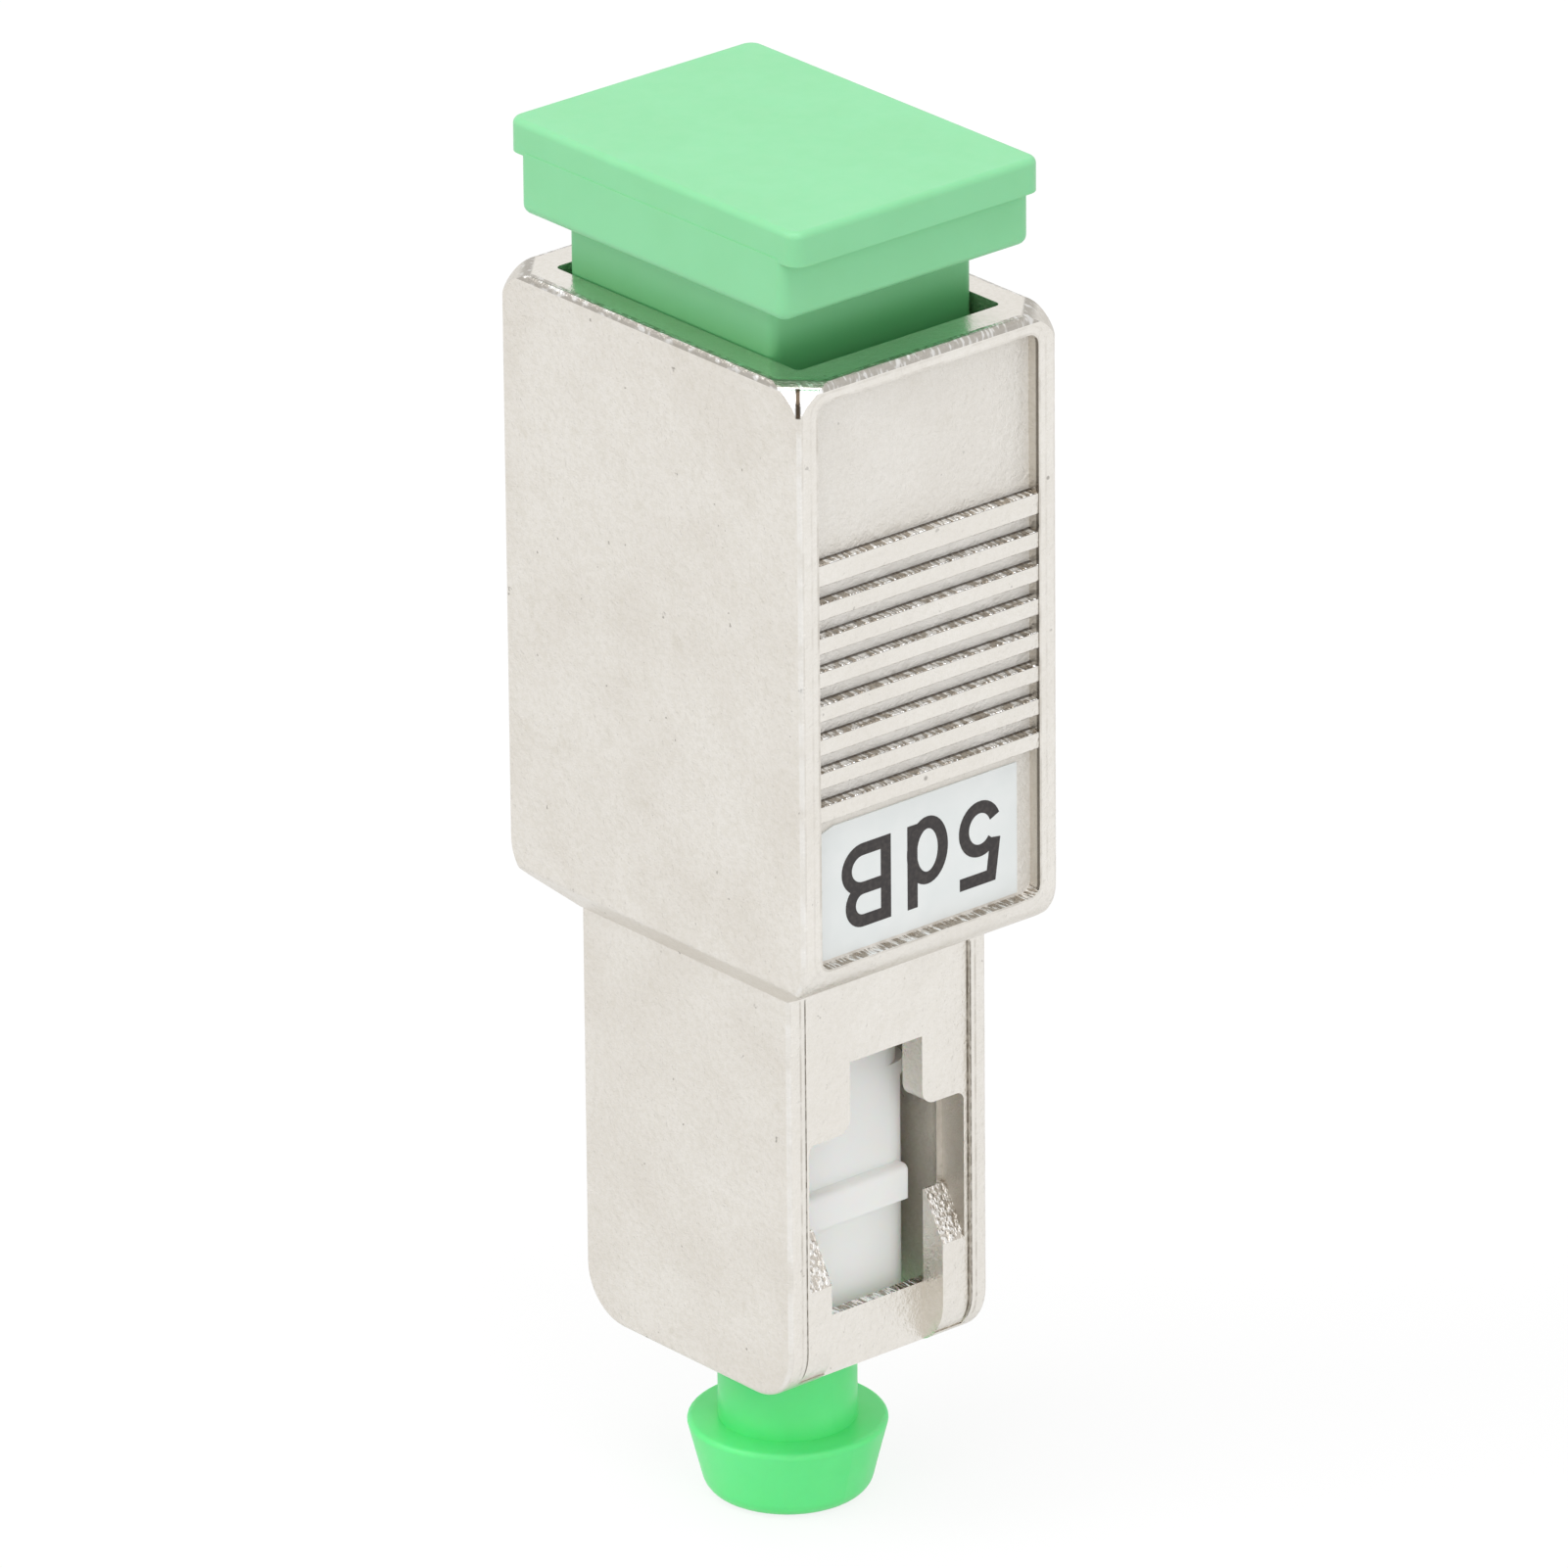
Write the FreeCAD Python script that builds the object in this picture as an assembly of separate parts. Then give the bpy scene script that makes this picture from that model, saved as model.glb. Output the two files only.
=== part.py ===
"""In-line fibre optic attenuator with square push-pull connectors, plug below and receptacle above.

All sizes in mm. The origin is under the foot of the ferrule cap, +Z runs up the optical axis,
X is the wide direction of the housing and Y the narrow one.
"""

import FreeCAD, Part

import math
import os

from FreeCAD import Vector

# Fits, each a gap per side.
FIT_FERRULE = 0.01
FIT_SPIGOT = 0.01
FIT_CAP_BORE = 0.02
FIT_SLIDE = 0.05
GAP_LOOSE = 0.10
GAP_CAP_TUBE = 0.15
GAP_FLANGE = 0.15

# How far a cut or a joined piece runs past the face it starts from.
OVERRUN = 0.10

# Two places closer than this are the same.
TOUCH = 1e-4

# Housing, plug shell.
SHELL_X = 9.00
SHELL_Y = 7.40
SHELL_WALL_X = 0.95
SHELL_WALL_Y = 0.85
SHELL_LENGTH = 12.60
SHELL_FOOT_ROUND = 1.60
SHELL_EDGE_ROUND = 0.20
CAVITY_CORNER = 0.45
LIP_SIDE_X = 0.65
LIP_SIDE_Y = 0.25
LIP_CORNER = 0.50
PANEL_BORDER = 0.66
PANEL_DEPTH = 0.10
PANEL_START = 0.50
KEY_X = 2.20
KEY_RISE = 0.90
KEY_SETBACK = 2.95
KEY_ROUND = 0.20

# Housing, windows and release ears in both narrow faces of the shell. Heights are above the shell's end.
WINDOW_TOP = 10.05
WINDOW_SHOULDER = 7.90
WINDOW_NARROW_Y = 2.68
WINDOW_SIDE_WALL = 0.82
WINDOW_ROUND = 0.45
WINDOW_OUTER_ROUND = 0.27
CHANNEL_Y = 4.14
CHANNEL_HIGH = 7.00
SILL_HIGH = 1.93
SILL_RECESS = 0.97
SILL_THICK = 0.35
EAR_RAMP_LOW = 3.37
EAR_RAMP_HIGH = 4.83
EAR_RAMP_DEPTH = 0.80

# Housing, receptacle box above the shell.
BOX_X = 12.79
BOX_Y = 9.46
BOX_WALL_X = 1.195
BOX_WALL_Y = 1.02
BOX_LENGTH = 18.15
BOX_SLOPE = 1.05
BOX_TOP_ROUND = 0.25
BOX_CORNER_ROUND = 1.10
BOX_CORNER_CUT = 0.05
BOX_FOOT_ROUND = 1.35
BOX_EDGE_ROUND = 0.20
PORT_DEPTH = 18.00
PORT_CORNER = 0.20
KEYWAY_X = 2.60
KEYWAY_DEPTH = 8.95
CONTACT_DEPTH = 13.55

# Housing, ribbed grip and label pocket in both narrow faces of the box.
POCKET_BORDER_Y = 0.70
POCKET_BORDER_LOW = 0.60
POCKET_BORDER_HIGH = 0.57
POCKET_DEPTH = 0.43
POCKET_CORNER = 0.35
RIB_COUNT = 8
RIB_PITCH = 1.01
RIB_THICK = 0.52
RIB_SINK = 0.03
RIB_ROUND = 0.06
RIB_START = 4.46
TOP_RIB_EXTRA = 0.15

# Label.
LABEL_GAP_Y = 0.43
LABEL_GAP_LOW = 0.12
LABEL_Z = 3.98
LABEL_THICK = 0.06
LABEL_SHIFT_Y = -0.11
LABEL_CUT_Y = 0.42
LABEL_CUT_Z = 0.14

# Ferrule with its fibre and flange.
FERRULE_D = 2.50
FERRULE_CHAMFER = 0.35
FERRULE_REACH = 2.05
POLISH_ANGLE = 8.0
FIBRE_D = 0.125
FLANGE_D = 3.60
FLANGE_LENGTH = 2.00
FLANGE_NOTCH_Y = 0.70
FLANGE_NOTCH_DEPTH = 0.32
FLANGE_CHAMFER = 0.30

# Ferrule dust cap.
CAP_HEAD_HIGH = 2.28
CAP_HEAD_TOP_D = 5.84
CAP_HEAD_FOOT_D = 4.69
CAP_FOOT_ROUND = 0.60
CAP_RIM_ROUND = 0.15
CAP_TUBE_D = 4.00
CAP_TUBE_LENGTH = 7.22
CAP_WEB = 0.32
CAP_TIP_GAP = 0.40
CAP_LEAD_IN = 0.25

# Plug frame. Lengths run up from its lower end.
FRAME_SIDE_X = 0.80
FRAME_SIDE_Y = 0.42
FRAME_ROUND = 0.90
FRAME_SETBACK = 0.70
FRAME_SEAT = 5.15
FRAME_SEAT_THICK = 0.80
BEAD_LOW = 7.40
BEAD_LENGTH = 0.45
BEAD_RISE = 0.10
WAIST_SINK = 0.23
WAIST_ROUND = 0.80
GUIDE_LENGTH = 2.30
SOCKET_DEPTH = 0.50
KEY_RIB_X = 0.50
LEDGE_RISE = 0.40
LEDGE_Y = 3.86
LEDGE_LOW = 3.76
LEDGE_HEIGHT = 1.05
LEDGE_ROUND = 0.20
LEDGE_END_ROUND = 0.12
FRAME_MOUTH_CHAMFER = 0.20

# Travel of the plug frame against the housing.
RELEASE_TRAVEL = 1.50

# Latch insert with hooks, rails and sleeve holder.
PLATE_THICK = 2.00
HOLDER_DROP = 1.85
HOLDER_LOWER_WALL = 0.45
HOLDER_UPPER_WALL = 0.35
HOLDER_ABOVE_CONTACT = 5.70
SPRING_SEAT_THICK = 0.60
HOOK_Y = 3.80
HOOK_ARM_THICK = 0.80
HOOK_WALL_GAP = 0.78
HOOK_NOSE_REACH = 0.72
HOOK_NOSE_HEIGHT = 1.05
HOOK_NOSE_FLAT = 0.37
HOOK_NOSE_ROUND = 0.08
HOOK_TOP_ROUND = 0.20
RAIL_GAP_X = 0.14
RAIL_Y = 1.36
RAIL_LENGTH = 7.60

# Split sleeve and its retainer.
SLEEVE_WALL = 0.34
SLEEVE_SLIT = 0.50
RETAINER_THICK = 0.60
RETAINER_BORE_GAP = 0.15
RETAINER_SPIGOT = 0.15
RETAINER_CHAMFER = 0.25

# Ferrule spring.
SPRING_WIRE_D = 0.36
SPRING_PITCH = 0.675

# Receptacle dust plug, held in the port with its grip standing off the rim.
PLUG_SHIFT_X = -0.10
PLUG_STAND_OFF = 1.69
GRIP_SETBACK_X = 0.745
GRIP_SETBACK_Y = 0.21
GRIP_HEIGHT = 1.74
GRIP_CORNER = 0.35
GRIP_EDGE = 0.28
CROWN_SETBACK_X = 0.245
CROWN_SETBACK_Y = 0.23
CROWN_HEIGHT = 1.00
CROWN_CORNER = 0.45
CROWN_EDGE = 0.20
NECK_SIDE_X = 0.805
NECK_SHIFT_X = -0.30
NECK_CORNER = 0.30
NECK_HOOK_GAP = 0.64
NECK_WALL = 1.10
NECK_LEAD_IN = 0.15
NECK_ROOF = 2.08

# Widths worked out from the sizes above.
CAVITY_X = SHELL_X - 2 * SHELL_WALL_X
CAVITY_Y = SHELL_Y - 2 * SHELL_WALL_Y
LIP_X = CAVITY_X - 2 * LIP_SIDE_X
LIP_Y = CAVITY_Y - 2 * LIP_SIDE_Y
PORT_X = BOX_X - 2 * BOX_WALL_X
PORT_Y = BOX_Y - 2 * BOX_WALL_Y
WINDOW_Y = SHELL_Y - 2 * WINDOW_SIDE_WALL
PANEL_Y = SHELL_Y - 2 * PANEL_BORDER
POCKET_Y = BOX_Y - 2 * POCKET_BORDER_Y
POCKET_FLOOR_X = BOX_X / 2 - POCKET_DEPTH
PANEL_X = SHELL_X / 2 - PANEL_DEPTH
FRAME_X = CAVITY_X - 2 * FRAME_SIDE_X
FRAME_Y = CAVITY_Y - 2 * FRAME_SIDE_Y
FRAME_BORE_D = CAP_TUBE_D + 2 * GAP_CAP_TUBE
CHAMBER_D = FLANGE_D + 2 * GAP_FLANGE
SLEEVE_BORE_D = FERRULE_D + 2 * FIT_FERRULE
SLEEVE_D = SLEEVE_BORE_D + 2 * SLEEVE_WALL
HOLDER_BORE_D = SLEEVE_D + 2 * GAP_LOOSE
HOLDER_UPPER_D = HOLDER_BORE_D + 2 * HOLDER_UPPER_WALL
HOLDER_LOWER_D = HOLDER_BORE_D + 2 * HOLDER_LOWER_WALL
COUNTERBORE_D = HOLDER_LOWER_D + 2 * FIT_SLIDE
HOOK_OUTER_X = PORT_X / 2 - HOOK_WALL_GAP
HOOK_INNER_X = HOOK_OUTER_X - HOOK_ARM_THICK
HOOK_TIP_X = HOOK_INNER_X - HOOK_NOSE_REACH
INSERT_X = PORT_X - 2 * FIT_SLIDE
INSERT_Y = PORT_Y - 2 * FIT_SLIDE
CROWN_X = BOX_X - 2 * CROWN_SETBACK_X
CROWN_Y = BOX_Y - 2 * CROWN_SETBACK_Y
GRIP_X = BOX_X - 2 * GRIP_SETBACK_X
GRIP_Y = BOX_Y - 2 * GRIP_SETBACK_Y
NECK_X = PORT_X - 2 * NECK_SIDE_X
NECK_Y = PORT_Y - 2 * FIT_SLIDE

# Levels worked out from the sizes above, from the foot of the cap upwards.
Z_CAP_FLOOR = CAP_HEAD_HIGH + CAP_WEB
Z_CAP_TOP = CAP_HEAD_HIGH + CAP_TUBE_LENGTH
Z_TIP = Z_CAP_FLOOR + CAP_TIP_GAP
Z_SHELL_END = Z_TIP + FERRULE_REACH
Z_SHELL_TOP = Z_SHELL_END + SHELL_LENGTH
Z_BOX_START = Z_SHELL_TOP + BOX_SLOPE
Z_RIM = Z_BOX_START + BOX_LENGTH
Z_PORT_FLOOR = Z_RIM - PORT_DEPTH
Z_CONTACT = Z_RIM - CONTACT_DEPTH
Z_LIP = Z_SHELL_TOP + FIT_SLIDE
Z_POCKET_LOW = Z_BOX_START + POCKET_BORDER_LOW
Z_POCKET_HIGH = Z_RIM - POCKET_BORDER_HIGH
Z_FRAME_END = Z_SHELL_END + FRAME_SETBACK
Z_SEAT_LOW = Z_FRAME_END + FRAME_SEAT
Z_SEAT_HIGH = Z_SEAT_LOW + FRAME_SEAT_THICK
Z_FLANGE_LOW = Z_SEAT_HIGH + GAP_LOOSE
Z_FLANGE_HIGH = Z_FLANGE_LOW + FLANGE_LENGTH
Z_PLATE_LOW = Z_PORT_FLOOR + RELEASE_TRAVEL + FIT_SLIDE
Z_PLATE_HIGH = Z_PLATE_LOW + PLATE_THICK
Z_NECK_TOP = Z_PLATE_LOW + SOCKET_DEPTH
Z_HOLDER_LOW = Z_PLATE_LOW - HOLDER_DROP
Z_SLEEVE_LOW = Z_HOLDER_LOW + SPRING_SEAT_THICK
Z_HOLDER_HIGH = Z_CONTACT + HOLDER_ABOVE_CONTACT
Z_SLEEVE_HIGH = Z_HOLDER_HIGH - RETAINER_SPIGOT - GAP_LOOSE
Z_CATCH = Z_CONTACT + Z_FRAME_END + LEDGE_LOW + LEDGE_HEIGHT - Z_TIP + GAP_LOOSE
Z_HOOK_TOP = Z_CATCH + HOOK_NOSE_HEIGHT
Z_PLUG_NECK = Z_HOOK_TOP + NECK_HOOK_GAP
Z_GRIP = Z_RIM + PLUG_STAND_OFF
Z_CROWN = Z_GRIP + GRIP_HEIGHT
Z_TOP = Z_CROWN + CROWN_HEIGHT


def outline(corners):
    """Face with rounded corners. Each corner is (point, radius), listed round the loop."""
    starts = []
    ends = []
    mids = []
    count = len(corners)
    for index in range(count):
        point, radius = corners[index]
        back = (corners[index - 1][0] - point).normalize()
        ahead = (corners[(index + 1) % count][0] - point).normalize()
        if radius <= 0:
            starts.append(point)
            ends.append(point)
            mids.append(None)
            continue
        half = back.getAngle(ahead) / 2
        reach = radius / math.tan(half)
        centre = point + (back + ahead).normalize() * (radius / math.sin(half))
        starts.append(point + back * reach)
        ends.append(point + ahead * reach)
        mids.append(centre + (point - centre).normalize() * radius)
    edges = []
    for index in range(count):
        if mids[index] is not None:
            edges.append(Part.Arc(starts[index], mids[index], ends[index]).toShape())
        following = starts[(index + 1) % count]
        if not following.isEqual(ends[index], TOUCH):
            edges.append(Part.makeLine(ends[index], following))
    return Part.Face(Part.Wire(edges))


def slab(size_x, size_y, radius, low, high, shift_x=0.0):
    """Upright block with rounded vertical edges, centred on the axis or shifted along X."""
    corners = []
    for sign_x, sign_y in ((-1, -1), (1, -1), (1, 1), (-1, 1)):
        corners.append((Vector(shift_x + sign_x * size_x / 2, sign_y * size_y / 2, low), radius))
    return outline(corners).extrude(Vector(0, 0, high - low))


def block(low_x, high_x, low_y, high_y, low_z, high_z):
    """Plain block between two corners."""
    corner = Vector(low_x, low_y, low_z)
    return Part.makeBox(high_x - low_x, high_y - low_y, high_z - low_z, corner)


def bar(size_x, size_y, low, high):
    """Plain upright block centred on the axis."""
    return block(-size_x / 2, size_x / 2, -size_y / 2, size_y / 2, low, high)


def rod(diameter, low, high):
    """Upright cylinder on the axis."""
    return Part.makeCylinder(diameter / 2, high - low, Vector(0, 0, low))


def cone(low_d, high_d, low, high):
    """Upright cone frustum on the axis."""
    return Part.makeCone(low_d / 2, high_d / 2, high - low, Vector(0, 0, low))


def along_y(corners, size_y):
    """Profile in the XZ plane, given as ((x, z), radius), made size_y thick about the axis."""
    points = [(Vector(spot[0], -size_y / 2, spot[1]), radius) for spot, radius in corners]
    return outline(points).extrude(Vector(0, size_y, 0))


def along_x(corners, low_x, high_x):
    """Profile in the YZ plane, given as ((y, z), radius), from low_x to high_x."""
    points = [(Vector(low_x, spot[0], spot[1]), radius) for spot, radius in corners]
    return outline(points).extrude(Vector(high_x - low_x, 0, 0))


def turned(shape):
    """A copy of the shape, turned half a turn about the optical axis."""
    copy = shape.copy()
    copy.rotate(Vector(0, 0, 0), Vector(0, 0, 1), 180)
    return copy


def both_sides(shape):
    """The shape, and its copy turned half a turn about the optical axis."""
    return [shape, turned(shape)]


def edges_at(shape, level):
    """Edges that lie in the horizontal plane at this level."""
    return [
        edge
        for edge in shape.Edges
        if edge.BoundBox.ZLength < TOUCH and abs(edge.BoundBox.ZMin - level) < TOUCH
    ]


def round_wide_faces(solid, half_y, radius):
    """Fillet round the outline of the two wide faces."""
    edges = []
    for face in solid.Faces:
        box = face.BoundBox
        if box.YLength < TOUCH and abs(abs(box.YMin) - half_y) < TOUCH:
            edges.extend(face.OuterWire.Edges)
    return solid.makeFillet(radius, edges)


def corner_rounding(angle):
    """Prism across the box's diagonal; its two rounded upper edges leave two corners rounded."""
    half = (BOX_X + BOX_Y) / 2 * math.sin(math.radians(45)) - BOX_CORNER_CUT
    corners = [
        ((-half, Z_RIM), BOX_CORNER_ROUND),
        ((-half, Z_SHELL_TOP), 0),
        ((half, Z_SHELL_TOP), 0),
        ((half, Z_RIM), BOX_CORNER_ROUND),
    ]
    prism = along_y(corners, BOX_X + BOX_Y)
    prism.rotate(Vector(0, 0, 0), Vector(0, 0, 1), angle)
    return prism


def box_body():
    """Outside of the receptacle box with the slope down to the plug shell.

    The round of the wide faces stays within a third of the step that the slope takes.
    """
    half_x = BOX_X / 2
    half_y = BOX_Y / 2
    wide = [
        ((-half_x, Z_RIM), BOX_TOP_ROUND),
        ((-half_x, Z_BOX_START), BOX_FOOT_ROUND),
        ((-SHELL_X / 2, Z_SHELL_TOP), 0),
        ((SHELL_X / 2, Z_SHELL_TOP), 0),
        ((half_x, Z_BOX_START), BOX_FOOT_ROUND),
        ((half_x, Z_RIM), BOX_TOP_ROUND),
    ]
    narrow = [
        ((-half_y, Z_RIM), 0),
        ((-half_y, Z_BOX_START), 0),
        ((-SHELL_Y / 2, Z_SHELL_TOP), 0),
        ((SHELL_Y / 2, Z_SHELL_TOP), 0),
        ((half_y, Z_BOX_START), 0),
        ((half_y, Z_RIM), 0),
    ]
    solid = along_y(wide, BOX_Y).common(along_x(narrow, -half_x, half_x))
    step_y = half_y - SHELL_Y / 2
    solid = round_wide_faces(solid, half_y, min(BOX_EDGE_ROUND, step_y / 3))
    return solid.common(corner_rounding(45)).common(corner_rounding(-45))


def shell_prism(size_x, size_y, foot_round):
    """Plug shell outline with its two rounded foot corners, run up into the box."""
    corners = [
        ((-size_x / 2, Z_BOX_START), 0),
        ((-size_x / 2, Z_SHELL_END), foot_round),
        ((size_x / 2, Z_SHELL_END), foot_round),
        ((size_x / 2, Z_BOX_START), 0),
    ]
    return along_y(corners, size_y)


def key_bar():
    """Locating key on the shell's +Y face, its outer end edges rounded."""
    top_y = SHELL_Y / 2 + KEY_RISE
    solid = block(-KEY_X / 2, KEY_X / 2, 0, top_y, Z_SHELL_END + KEY_SETBACK, Z_BOX_START)
    ends = [
        edge
        for edge in solid.Edges
        if edge.BoundBox.YMin > top_y - TOUCH and edge.BoundBox.ZMin < Z_BOX_START - TOUCH
    ]
    return solid.makeFillet(KEY_ROUND, ends)


def shell_body():
    """Outside of the plug shell with the shallow panel in each narrow face and the key bar."""
    outer = shell_prism(SHELL_X, SHELL_Y, SHELL_FOOT_ROUND)
    outer = round_wide_faces(outer, SHELL_Y / 2, SHELL_EDGE_ROUND)
    kept = shell_prism(2 * PANEL_X, PANEL_Y, SHELL_FOOT_ROUND - PANEL_DEPTH)
    sunk = bar(SHELL_X + 2 * OVERRUN, PANEL_Y, Z_SHELL_END + PANEL_START, Z_SHELL_TOP).cut(kept)
    return outer.cut(sunk).fuse(key_bar())


def ear_ramps():
    """Solid left in the window at +X: each ear's block, ramped inwards at its upper end."""
    start_x = CAVITY_X / 2 - OVERRUN
    ramp_x = PANEL_X - EAR_RAMP_DEPTH
    low = Z_SHELL_END + EAR_RAMP_LOW
    high = Z_SHELL_END + EAR_RAMP_HIGH
    corners = [
        ((start_x, low - OVERRUN), 0),
        ((PANEL_X, low - OVERRUN), 0),
        ((PANEL_X, low), 0),
        ((ramp_x, high), 0),
        ((start_x, high), 0),
    ]
    return along_y(corners, WINDOW_Y)


def window_cuts():
    """Stepped window, channel between the ears and lowered sill of the narrow face at +X."""
    start_x = CAVITY_X / 2 - OVERRUN
    end_x = SHELL_X / 2 + OVERRUN
    narrow = WINDOW_NARROW_Y / 2
    wide = WINDOW_Y / 2
    top = Z_SHELL_END + WINDOW_TOP
    shoulder = Z_SHELL_END + WINDOW_SHOULDER
    low = Z_SHELL_END + EAR_RAMP_LOW
    corners = [
        ((-narrow, top), 0),
        ((-narrow, shoulder), WINDOW_ROUND),
        ((-wide, shoulder), WINDOW_OUTER_ROUND),
        ((-wide, low), 0),
        ((wide, low), 0),
        ((wide, shoulder), WINDOW_OUTER_ROUND),
        ((narrow, shoulder), WINDOW_ROUND),
        ((narrow, top), 0),
    ]
    window = along_x(corners, start_x, end_x).cut(ear_ramps())
    half = CHANNEL_Y / 2
    sill = Z_SHELL_END + SILL_HIGH
    sill_x = SHELL_X / 2 - SILL_RECESS
    channel = block(start_x, end_x, -half, half, sill, Z_SHELL_END + CHANNEL_HIGH)
    front = block(sill_x, end_x, -half, half, Z_SHELL_END - OVERRUN, sill + OVERRUN)
    return [window, channel, front]


def rib(low, high):
    """Bar across the pocket at +X, its two outer edges rounded."""
    start_x = POCKET_FLOOR_X - OVERRUN
    face_x = BOX_X / 2 - RIB_SINK
    corners = [
        ((start_x, low), 0),
        ((face_x, low), RIB_ROUND),
        ((face_x, high), RIB_ROUND),
        ((start_x, high), 0),
    ]
    return along_y(corners, POCKET_Y)


def grip_cut():
    """Pocket with the raised ribs in the narrow face of the box at +X."""
    half = POCKET_Y / 2
    corners = [
        ((-half, Z_POCKET_LOW), POCKET_CORNER),
        ((half, Z_POCKET_LOW), POCKET_CORNER),
        ((half, Z_POCKET_HIGH), POCKET_CORNER),
        ((-half, Z_POCKET_HIGH), POCKET_CORNER),
    ]
    pocket = along_x(corners, POCKET_FLOOR_X, BOX_X / 2 + OVERRUN)
    for index in range(RIB_COUNT):
        low = Z_POCKET_LOW + RIB_START + index * RIB_PITCH
        high = low + RIB_THICK
        if index == RIB_COUNT - 1:
            high += TOP_RIB_EXTRA
        pocket = pocket.cut(rib(low, high))
    return pocket


def keyway_cut():
    """Slot for the mating plug's key, in the +Y wall, with rounded lower corners."""
    half = KEYWAY_X / 2
    low = Z_RIM - KEYWAY_DEPTH
    corners = [
        (Vector(-half, 0, Z_RIM + OVERRUN), 0),
        (Vector(-half, 0, low), CAVITY_CORNER),
        (Vector(half, 0, low), CAVITY_CORNER),
        (Vector(half, 0, Z_RIM + OVERRUN), 0),
    ]
    return outline(corners).extrude(Vector(0, BOX_Y, 0))


def metal_housing():
    """Die-cast housing: box, shell, bores, windows, grips and keyway."""
    solid = box_body().fuse(shell_body())
    sill = Z_SHELL_END + SILL_HIGH
    mouth_x = SHELL_X - 2 * (SILL_RECESS + SILL_THICK)
    cuts = [
        slab(PORT_X, PORT_Y, PORT_CORNER, Z_PORT_FLOOR, Z_RIM + OVERRUN),
        slab(LIP_X, LIP_Y, LIP_CORNER, Z_LIP - OVERRUN, Z_PORT_FLOOR + OVERRUN),
        slab(CAVITY_X, CAVITY_Y, CAVITY_CORNER, sill, Z_LIP),
        slab(mouth_x, CAVITY_Y, CAVITY_CORNER, Z_SHELL_END - OVERRUN, sill + OVERRUN),
        keyway_cut(),
    ]
    for tool in window_cuts() + [grip_cut()]:
        cuts.extend(both_sides(tool))
    return solid.cut(cuts).removeSplitter()


def value_label():
    """Thin film on the pocket floor under the ribs, one upper corner trimmed."""
    half = POCKET_Y / 2 - LABEL_GAP_Y
    low = Z_POCKET_LOW + LABEL_GAP_LOW
    high = low + LABEL_Z
    corners = [
        ((LABEL_SHIFT_Y - half, low), 0),
        ((LABEL_SHIFT_Y + half, low), 0),
        ((LABEL_SHIFT_Y + half, high), 0),
        ((LABEL_SHIFT_Y - half + LABEL_CUT_Y, high), 0),
        ((LABEL_SHIFT_Y - half, high - LABEL_CUT_Z), 0),
    ]
    return along_x(corners, POCKET_FLOOR_X, POCKET_FLOOR_X + LABEL_THICK)


def ledge():
    """Latch ledge on the +X side of the plug frame, its upper edge and its ends rounded."""
    start_x = FRAME_X / 2 - OVERRUN
    end_x = FRAME_X / 2 + LEDGE_RISE
    low = Z_FRAME_END + LEDGE_LOW
    high = low + LEDGE_HEIGHT
    corners = [
        ((start_x, low), 0),
        ((end_x, low), 0),
        ((end_x, high), LEDGE_ROUND),
        ((start_x, high), 0),
    ]
    solid = along_y(corners, LEDGE_Y)
    ends = [
        edge
        for edge in solid.Edges
        if edge.BoundBox.XMin > end_x - TOUCH and edge.BoundBox.ZLength > LEDGE_HEIGHT / 2
    ]
    return solid.makeFillet(LEDGE_END_ROUND, ends)


def frame_body():
    """Outside of the plug frame, from its lower end up to the neck in the insert's socket."""
    bead_low = Z_FRAME_END + BEAD_LOW
    bead_high = bead_low + BEAD_LENGTH
    guide_low = Z_SHELL_TOP - GUIDE_LENGTH
    guide_x = CAVITY_X - 2 * FIT_SLIDE
    guide_y = CAVITY_Y - 2 * FIT_SLIDE
    neck_x = LIP_X - 2 * GAP_LOOSE
    neck_y = LIP_Y - 2 * GAP_LOOSE
    front = slab(FRAME_X, FRAME_Y, FRAME_ROUND, Z_FRAME_END, bead_low)
    parts = [
        slab(FRAME_X, FRAME_Y + 2 * BEAD_RISE, FRAME_ROUND, bead_low, bead_high),
        slab(FRAME_X, FRAME_Y - 2 * WAIST_SINK, WAIST_ROUND, bead_high, guide_low),
        slab(guide_x, guide_y, CAVITY_CORNER, guide_low, Z_SHELL_TOP),
        slab(neck_x, neck_y, LIP_CORNER - GAP_LOOSE, Z_SHELL_TOP, Z_NECK_TOP),
    ]
    return front.fuse(parts + both_sides(ledge()))


def key_ribs():
    """Two ribs in the chamber that stand in the flange's notches and stop it turning."""
    reach = FLANGE_D / 2 - FLANGE_NOTCH_DEPTH + GAP_LOOSE
    half = KEY_RIB_X / 2
    rib = block(-half, half, reach, CHAMBER_D / 2 + OVERRUN, Z_SEAT_HIGH - OVERRUN, Z_FLANGE_HIGH)
    return both_sides(rib)


def plug_frame():
    """White plug frame: body with ledges, bored for the cap, ferrule, flange, spring and holder."""
    mouth = FRAME_BORE_D + 2 * FRAME_MOUTH_CHAMFER
    bores = [
        rod(FRAME_BORE_D, Z_FRAME_END - OVERRUN, Z_SEAT_LOW),
        cone(mouth, FRAME_BORE_D, Z_FRAME_END, Z_FRAME_END + FRAME_MOUTH_CHAMFER),
        rod(FERRULE_D + 2 * FIT_SLIDE, Z_SEAT_LOW - OVERRUN, Z_SEAT_HIGH + OVERRUN),
        rod(CHAMBER_D, Z_SEAT_HIGH, Z_NECK_TOP).cut(key_ribs()),
        rod(COUNTERBORE_D, Z_HOLDER_LOW - FIT_SLIDE, Z_NECK_TOP + OVERRUN),
    ]
    return frame_body().cut(bores).removeSplitter()


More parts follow.
